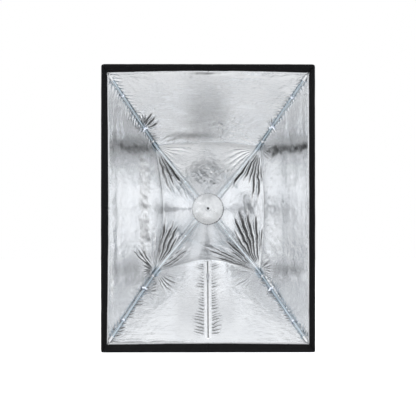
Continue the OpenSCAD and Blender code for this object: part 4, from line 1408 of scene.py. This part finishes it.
# %% Ribbon helpers
def ribbon(centres, sides, thick):
    """Cross-sections of a flat ribbon: a row of centre points with a width vector at each."""
    profiles, uv, far = [], [], 0.0
    for i, (point, side) in enumerate(zip(centres, sides)):
        ahead = centres[min(i + 1, len(centres) - 1)] - centres[max(i - 1, 0)]
        up = ahead.cross(side).normalized() * thick / 2
        half, edge = side, side * 0.9
        profiles.append([point + half, point + edge + up, point + up, point - edge + up, point - half,
                         point - edge - up, point - up, point + edge - up])
        if i:
            far += (point - centres[i - 1]).length
        uv.append([(s * side.length, far) for s in (1, 0.9, 0, -0.9, -1, -0.9, 0, 0.9)])
    return profiles, uv


def ribbon_mesh(name, points, sides, thick, material):
    profiles, uv = ribbon([Vector(p) for p in points], [Vector(s) for s in sides], thick)
    return closed_sweep(name, profiles, [material], uv)


def frame_along(way, towards):
    """Two directions square to a way, the first one nearest the given one."""
    way = way.normalized()
    first = (towards - way * towards.dot(way)).normalized()
    return first, way.cross(first)


def wrap_round(name, centre, way, towards, radius, width, thick, material, turns=1.0, lead=0.0, wobble=0.0):
    """A ribbon wound round a rod, starting on the side that faces 'towards'."""
    first, second = frame_along(way, towards)
    way = way.normalized()
    steps = int(28 * turns) + 1
    points, sides = [], []
    for i in range(steps):
        angle = 2 * math.pi * turns * i / (steps - 1)
        r = radius * (1 + wobble * math.sin(3 * angle + 0.7)) + thick * 1.05 * angle / (2 * math.pi)
        points.append(centre + first * (r * math.cos(angle)) + second * (r * math.sin(angle))
                      + way * (lead * (i / (steps - 1) - 0.5)))
        sides.append(way * (width / 2) + first * (0.0002 * math.sin(2 * angle)))
    return ribbon_mesh(name, points, sides, thick, material)


def lump(name, centre, size, way, towards, material, seed=0):
    """A knot: a ball pressed flat, with folds."""
    first, second = frame_along(way, towards)
    mesh = bpy.data.meshes.new(name)
    whole = bmesh.new()
    bmesh.ops.create_uvsphere(whole, u_segments=20, v_segments=14, radius=1.0)
    for vert in whole.verts:
        q = vert.co.copy()
        swirl = 1 + 0.13 * math.sin(4 * math.atan2(q.y, q.x) + 3 * q.z + seed) + 0.06 * math.sin(7 * q.x + 5 * q.y)
        vert.co = centre + (way.normalized() * (q.x * size[0]) + second * (q.y * size[1]) + first * (q.z * size[2])) * swirl
    bmesh.ops.recalc_face_normals(whole, faces=whole.faces)
    whole.to_mesh(mesh)
    mesh.materials.append(material)
    return mesh


print("ribbon helpers ready")

# %% [markdown]
# The rods' own axes come from their CAD meshes, so a ribbon always lies round its rod. Where a tie sits along the
# rod comes from the picture.

# %% Rods
def axis_of(*names):
    """A straight piece's middle, its way and its radius, from its vertices."""
    points = np.array([tuple(v.co) for name in names for v in bpy.data.objects[name].data.vertices])
    middle = (points.max(0) + points.min(0)) / 2
    _, _, ways = np.linalg.svd(points - points.mean(0), full_matrices=False)
    way = ways[0] if ways[0][1] < 0 else -ways[0]
    off = points - points.mean(0)
    radius = np.percentile(np.linalg.norm(off - (off @ way)[:, None] * way, axis=-1), 60)
    return Vector(middle), Vector(way), float(radius)


rods = {c: axis_of(f"rib_outer_{c}") for c in CORNERS}


def on_rod(corner, point):
    """The nearest place to a point on the rod's middle line."""
    middle, way, _ = rods[corner]
    return middle + way * (point - middle).dot(way)


def corner_out(corner):
    """The way from a rod to the corner seam behind it."""
    seam = shell_point(TOP if CORNERS[corner][1] > 0 else BOTTOM, KNEE,
                       1.0 if (CORNERS[corner][0] > 0) == (CORNERS[corner][1] > 0) else 0.0, 0.5)
    out = seam - on_rod(corner, seam)
    return out.normalized(), out.length


for c in CORNERS:
    print(c, "rod radius", round(rods[c][2], 4), "to the seam", round(corner_out(c)[1], 4))

# %% [markdown]
# A tie is a flat wrap, a knot on the side that faces the lens, and two short tails. The ribbon is sewn
# into the corner seam behind the rod.

# %% Ties
TIE_POINTS = {c: [f"tie_{c}", f"loop_{c}"] for c in CORNERS}


def tie_at(corner, name, seed):
    centre = on_rod(corner, place(POINTS[name], tree_of(f"rib_outer_{corner}"))[0])
    _, way, radius = rods[corner]
    out, gap = corner_out(corner)
    seen = (camera.location - centre).normalized()
    first, second = frame_along(way, seen)
    wraps = [wrap_round(f"{name}_wrap", centre, way, out, radius + 0.0004, 0.0062, 0.0005, ribbon_cloth,
                        turns=1.0, lead=0.0, wobble=0.05)]
    wraps.append(wrap_round(f"{name}_wrap_over", centre + way * 0.0012, way + second * 0.16, out, radius + 0.0011, 0.0044,
                            0.0005, ribbon_cloth, turns=1.0, lead=0.001, wobble=0.06))
    stem = [centre + out * t for t in (radius + 0.0006, radius + 0.3 * gap, 0.72 * gap, gap - 0.0016)]
    wraps.append(ribbon_mesh(f"{name}_stem", stem, [way * 0.003] * 4, 0.0005, ribbon_cloth))
    knot_at = centre + first * (radius + 0.0016)
    if name.startswith("tie"):
        wraps.append(lump(f"{name}_knot", knot_at, (0.0034, 0.0030, 0.0019), way, seen, ribbon_cloth, seed))
        for sign, reach, fall in ((1, 0.0105, 0.35), (-1, 0.0085, 0.75)):
            heading = (second * sign + way * (0.35 * math.sin(seed + sign)) + Vector((0, 0, -1)) * fall).normalized()
            points = [knot_at + first * (0.0008 + 0.0012 * math.sin(2.6 * s)) + heading * (reach * s)
                      + way * (0.0012 * math.sin(3.1 * s + seed)) for s in np.linspace(0.1, 1, 9)]
            side = heading.cross(first).normalized()
            sides = [side * (0.0019 + 0.0008 * s) + first * (0.0007 * math.sin(4 * s)) for s in np.linspace(0, 1, 9)]
            wraps.append(ribbon_mesh(f"{name}_tail", points, sides, 0.0005, ribbon_cloth))
    return joined(f"{name}_ribbon", wraps)


ties = {name: (corner, tie_at(corner, name, 3 * i + 1)) for i, (corner, name) in
        enumerate((c, n) for c, names in TIE_POINTS.items() for n in names)}
print("ties:", list(ties))

# %% [markdown]
# A pocket is a tapered sleeve with a stitched mouth, sewn into the front corner. A tab of tape holds the rod to
# the corner seam beside each knee.

# %% Pockets and knee tabs
def sleeve(name, centres, first, second, radii, material, wrinkle, seed):
    """A tube of cloth through rows of centres, each with two radii."""
    turns = np.linspace(0, 2 * math.pi, 29)[:-1]
    profiles, uv, far = [], [], 0.0
    for i, (centre, (a, b)) in enumerate(zip(centres, radii)):
        ring = []
        for t in turns:
            swell = 1 + wrinkle * math.sin(3 * t + 0.9 * i + seed) * (1 if 2 < i < len(centres) - 2 else 0)
            ring.append(centre + first * (a * swell * math.cos(t)) + second * (b * swell * math.sin(t)))
        profiles.append(ring)
        far += (centre - centres[i - 1]).length if i else 0
        uv.append([(t * 0.004, far) for t in turns])
    return closed_sweep(name, profiles, [material], uv)


def pocket_at(corner, seed):
    middle, way, radius = rods[corner]
    points = np.array([tuple(v.co) for v in bpy.data.objects[f"rib_pocket_{corner}"].data.vertices])
    along = (points - np.array(middle)) @ np.array(way)
    out, _ = corner_out(corner)
    first, second = frame_along(way, out)
    off = points - np.array(middle) - along[:, None] * np.array(way)
    wide = np.abs(off @ np.array(second)).max()
    mouth, end = along.min(), along.max()
    shares = [0.16, 0.05, 0.0, -0.012, -0.006, 0.03, 0.07, 0.16, 0.3, 0.45, 0.6, 0.75, 0.88, 0.96, 0.995]
    inner = radius + 0.0002
    sizes = [(inner, inner), (inner, inner), (inner + 0.0003, inner + 0.0004), (radius + 0.001, radius + 0.0012)]
    sizes += [(radius + 0.0015, radius + 0.0022), (radius + 0.0013, radius + 0.002), (radius + 0.001, wide * 0.78)]
    sizes += [(radius + 0.0011, wide * f) for f in (0.85, 0.92, 0.97, 0.98, 0.95, 0.86, 0.7, 0.45)]
    centres = [middle + way * (mouth + (end - mouth) * s) for s in shares]
    body = sleeve(f"pocket_{corner}", centres, first, second, sizes, silver_tape, 0.035, seed)
    seam = []
    for t in np.linspace(0, 2 * math.pi, 40):
        centre = middle + way * (mouth + (end - mouth) * 0.1)
        seam.append(centre + first * ((radius + 0.00125) * math.cos(t)) + second * (wide * 0.8 * math.sin(t)))
    return joined(f"rod_pocket_{corner}", [body, row_of_rods([seam], 0.003, 0.0021, 0.00018, silver_thread)])


def knee_tab(corner):
    """A short tape round the outer rod beside its knee, running to the corner seam."""
    _, way, radius = rods[corner]
    centre = on_rod(corner, knee[corner]) + way * 0.024
    own_gap = (shell_corner(corner, centre) - centre).length
    aim_out = (shell_corner(corner, centre) - centre).normalized()
    loop = wrap_round(f"knee_loop_{corner}", centre, way, aim_out, radius + 0.0005, 0.0056, 0.0006, silver_tape,
                      wobble=0.06)
    stem = [centre + aim_out * t for t in (radius + 0.0006, 0.5 * own_gap, own_gap - 0.0014)]
    tab = ribbon_mesh(f"knee_stem_{corner}", stem, [way * 0.0028] * 3, 0.0006, silver_tape)
    return joined(f"knee_tab_{corner}", [loop, tab])


def shell_corner(corner, near):
    """The nearest place on the wall's corner seam."""
    a, b = knee[corner], front[corner]
    way = (b - a).normalized()
    return a + way * (near - a).dot(way)


pockets = {c: pocket_at(c, 2 * i) for i, c in enumerate(CORNERS)}
knee_tabs = {c: knee_tab(c) for c in CORNERS}
print("pockets:", len(pockets), "knee tabs:", len(knee_tabs))

# %% [markdown]
# ## The back of the cover
# A round patch of webbing carries the hub at the back, sewn down with two rings of stitches. On the outside, a
# flat binding covers each corner seam from the patch to the front edge.

# %% Back patch and bindings
PATCH_RADIUS = 0.032


def ring_of(radius, y, count=90):
    return [Vector((radius * math.cos(a), y, radius * math.sin(a))) for a in np.linspace(0, 2 * math.pi, count)]


patch_low, patch_high = low["back_patch"], high["back_patch"]
patch_profile = [(0.0044, patch_low[1]), (0.0295, patch_low[1]), (PATCH_RADIUS, patch_low[1] + 0.0002),
                 (PATCH_RADIUS, patch_high[1] - 0.0003), (0.031, patch_high[1]), (0.0288, patch_high[1] - 0.0001),
                 (0.0278, patch_high[1] - 0.0004), (0.0268, patch_high[1] - 0.0001), (0.016, patch_high[1]),
                 (0.0044, patch_high[1])]
rows = []
for r, y in patch_profile:
    rows.append([Vector((r * math.cos(a), y, r * math.sin(a))) for a in np.linspace(0, 2 * math.pi, 97)[:-1]])
rows = np.array([[tuple(p) for p in row] for row in rows])
index = np.arange(rows.shape[0] * 96).reshape(rows.shape[0], 96)
a, b = index, np.roll(index, -1, 0)
quads = np.stack([a, np.roll(a, -1, 1), np.roll(b, -1, 1), b], -1).reshape(-1, 4).tolist()
patch_mesh = bpy.data.meshes.new("back_patch_cloth")
patch_mesh.from_pydata(rows.reshape(-1, 3).tolist(), [], quads)
patch_mesh.materials.append(patch_cloth)
whole = bmesh.new()
whole.from_mesh(patch_mesh)
bmesh.ops.recalc_face_normals(whole, faces=whole.faces)
whole.to_mesh(patch_mesh)
patch_rows = [ring_of(0.0278, patch_high[1] - 0.0002), ring_of(0.0175, patch_high[1] + 0.0001)]
patch = joined("back_patch_sewn", [patch_mesh, row_of_rods(patch_rows, 0.0036, 0.0025, 0.00022, black_thread)])


def binding(corner, st):
    """A flat tape over a corner seam's outside, folded along its middle."""
    top = CORNERS[corner][1] > 0
    side = TOP if top else BOTTOM
    beside = RIGHT if CORNERS[corner][0] > 0 else LEFT
    half = HALVES[side].index(corner)
    other = HALVES[beside].index(corner)
    length = slant(side, st, np.array([0.5]))[0]
    last = 1.0 if st == HUB else 1 - HEM_OUTSIDE / length
    v = np.linspace(0.12 if st == HUB else 0.0, last, 60)
    profiles = []
    for panel, end, shares in ((side, half, (0.0065, 0.006, 0.003, 0.0004)),
                               (beside, other, (0.0004, 0.003, 0.006, 0.0065))):
        for w in shares:
            off = w / (2 * half_along(panel, st, v))
            u = 1 - off if end else off
            lift = 0.0016 if w < 0.0062 else 0.0013
            profiles.append(shell(panel, st, u, v, lift))
    for panel, end, shares in ((beside, other, (0.0065, 0.003, 0.0004)), (side, half, (0.0004, 0.003, 0.0065))):
        for w in shares:
            off = w / (2 * half_along(panel, st, v))
            profiles.append(shell(panel, st, 1 - off if end else off, v, 0.0011))
    rows = np.stack(profiles, 1)
    across = np.array([0.0065, 0.006, 0.003, 0, 0, -0.003, -0.006, -0.0065, -0.0065, -0.003, 0, 0, 0.003, 0.0065])
    uv = np.stack(np.broadcast_arrays(across[None, :], (v * length)[:, None]), -1)
    name = f"binding_{'front' if st == KNEE else 'back'}_{corner}"
    body = closed_sweep(name, rows, [patch_cloth], uv)
    seams = []
    for panel, end in ((side, half), (beside, other)):
        off = 0.0048 / (2 * half_along(panel, st, v))
        seams.append(shell(panel, st, 1 - off if end else off, v, 0.0017))
    return joined(f"{name}_sewn", [body, row_of_rods(seams, 0.0038, 0.0026, 0.0002, black_thread)])


bindings = {(corner, st): binding(corner, st) for corner in CORNERS for st in (HUB, KNEE)}
print("bindings:", len(bindings), "faces:", sum(len(o.data.polygons) for o in bindings.values()))

# %% [markdown]
# ## Putting it together
# Each half panel stands for the CAD's plain sheet, which is hidden, and stays where it is made. The hem and the
# bindings stay where they are made too. The ties, the pockets and the tabs ride their ribs.


def bend_with_rib(piece):
    """The piece's place is baked into its mesh."""
    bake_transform(piece)


for (side, st, half), piece in cloth.items():
    bend_with_rib(piece)
    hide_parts(("wall_" if st == KNEE else "back_panel_") + SIDE_NAMES[side])
    corner = HALVES[side][half]
    sewn_on = []
    if side in (TOP, BOTTOM):
        sewn_on.append(bindings[corner, st])
        if st == KNEE:
            sewn_on += [tie for at, tie in ties.values() if at == corner] + [pockets[corner], knee_tabs[corner]]
    if (side, st, corner) == (BOTTOM, KNEE, "bl"):
        sewn_on += [*zip_tapes.values(), teeth]
    if (side, st, corner) == (TOP, HUB, "tl"):
        sewn_on.append(patch)
for (side, half), piece in hem.items():
    bend_with_rib(piece)
    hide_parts(f"hem_band_{SIDE_NAMES[side]}")
for (corner, st), piece in bindings.items():
    side = TOP if CORNERS[corner][1] > 0 else BOTTOM
    bend_with_rib(piece)
    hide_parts(("wall_" if st == KNEE else "back_panel_") + SIDE_NAMES[side])
for sign, piece in zip_tapes.items():
    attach(piece, "root")
    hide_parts("zip_tape_right" if sign > 0 else "zip_tape_left")
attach(teeth, "root")
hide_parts("zip_teeth")
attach(rosette, "runner_body")
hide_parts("rosette")
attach(back_and_shadow, "runner_body")
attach(patch, "root")
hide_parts("back_patch")
for name, (corner, piece) in ties.items():
    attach(piece, f"rib_{corner}")
    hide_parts(f"rib_tie_{corner}")
for corner in CORNERS:
    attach(pockets[corner], f"rib_{corner}")
    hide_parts(f"rib_pocket_{corner}")
    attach(knee_tabs[corner], f"rib_{corner}")

# %% [markdown]
# Each image point is compared with the place where its thing shows.

# %% Where the points show
def showing(names, reach=0.6, most=1500):
    """Where the vertices of some pieces that nothing hides show in the picture."""
    graph = bpy.context.evaluated_depsgraph_get()
    eye = camera.matrix_world.translation
    seen = []
    for name in names:
        obj = bpy.data.objects[name]
        verts = list(obj.data.vertices)
        for v in verts[::max(1, len(verts) // most)]:
            at = obj.matrix_world @ v.co
            way = (eye - at).normalized()
            if not bpy.context.scene.ray_cast(graph, at + way * 0.0012, way, distance=reach)[0]:
                seen.append(tuple(at))
    return shows_at(seen) if seen else np.empty((0, 2))


def middle_of(names):
    at = showing(names)
    return (at.min(axis=0) + at.max(axis=0)) / 2 if len(at) else np.array([np.nan, np.nan])


def write_points():
    edge = showing([piece.name for piece in hem.values()])
    row = np.abs(edge[:, 1] - 208) < 4
    column = np.abs(edge[:, 0] - 208) < 4
    found = {
        "left_edge": (edge[row, 0].min(), 208.0), "right_edge": (edge[row, 0].max(), 208.0),
        "top_edge": (208.0, edge[column, 1].min()), "bottom_edge": (208.0, edge[column, 1].max()),
        "shaft_end": middle_of(["shaft_cap"]),
    }
    for corner in CORNERS:
        found[f"knee_{corner}"] = middle_of([f"rib_knee_{corner}"])
    for name, (corner, piece) in ties.items():
        found[name] = middle_of([piece.name])
    lining = showing([piece.name for (side, st, half), piece in cloth.items() if st == KNEE])
    for name, corner in (("lining_corner_tl", (-1, -1)), ("lining_corner_br", (1, 1))):
        found[name] = lining[(lining @ np.array(corner)).argmax()]
    tape = showing([piece.name for piece in zip_tapes.values()])
    found["zip_outer_end"] = (tape[:, 0].mean(), tape[:, 1].max())
    off = {name: [round(float(found[name][i] - POINTS[name][i]), 1) for i in (0, 1)] for name in POINTS}
    return off


print("points are off by:", write_points())
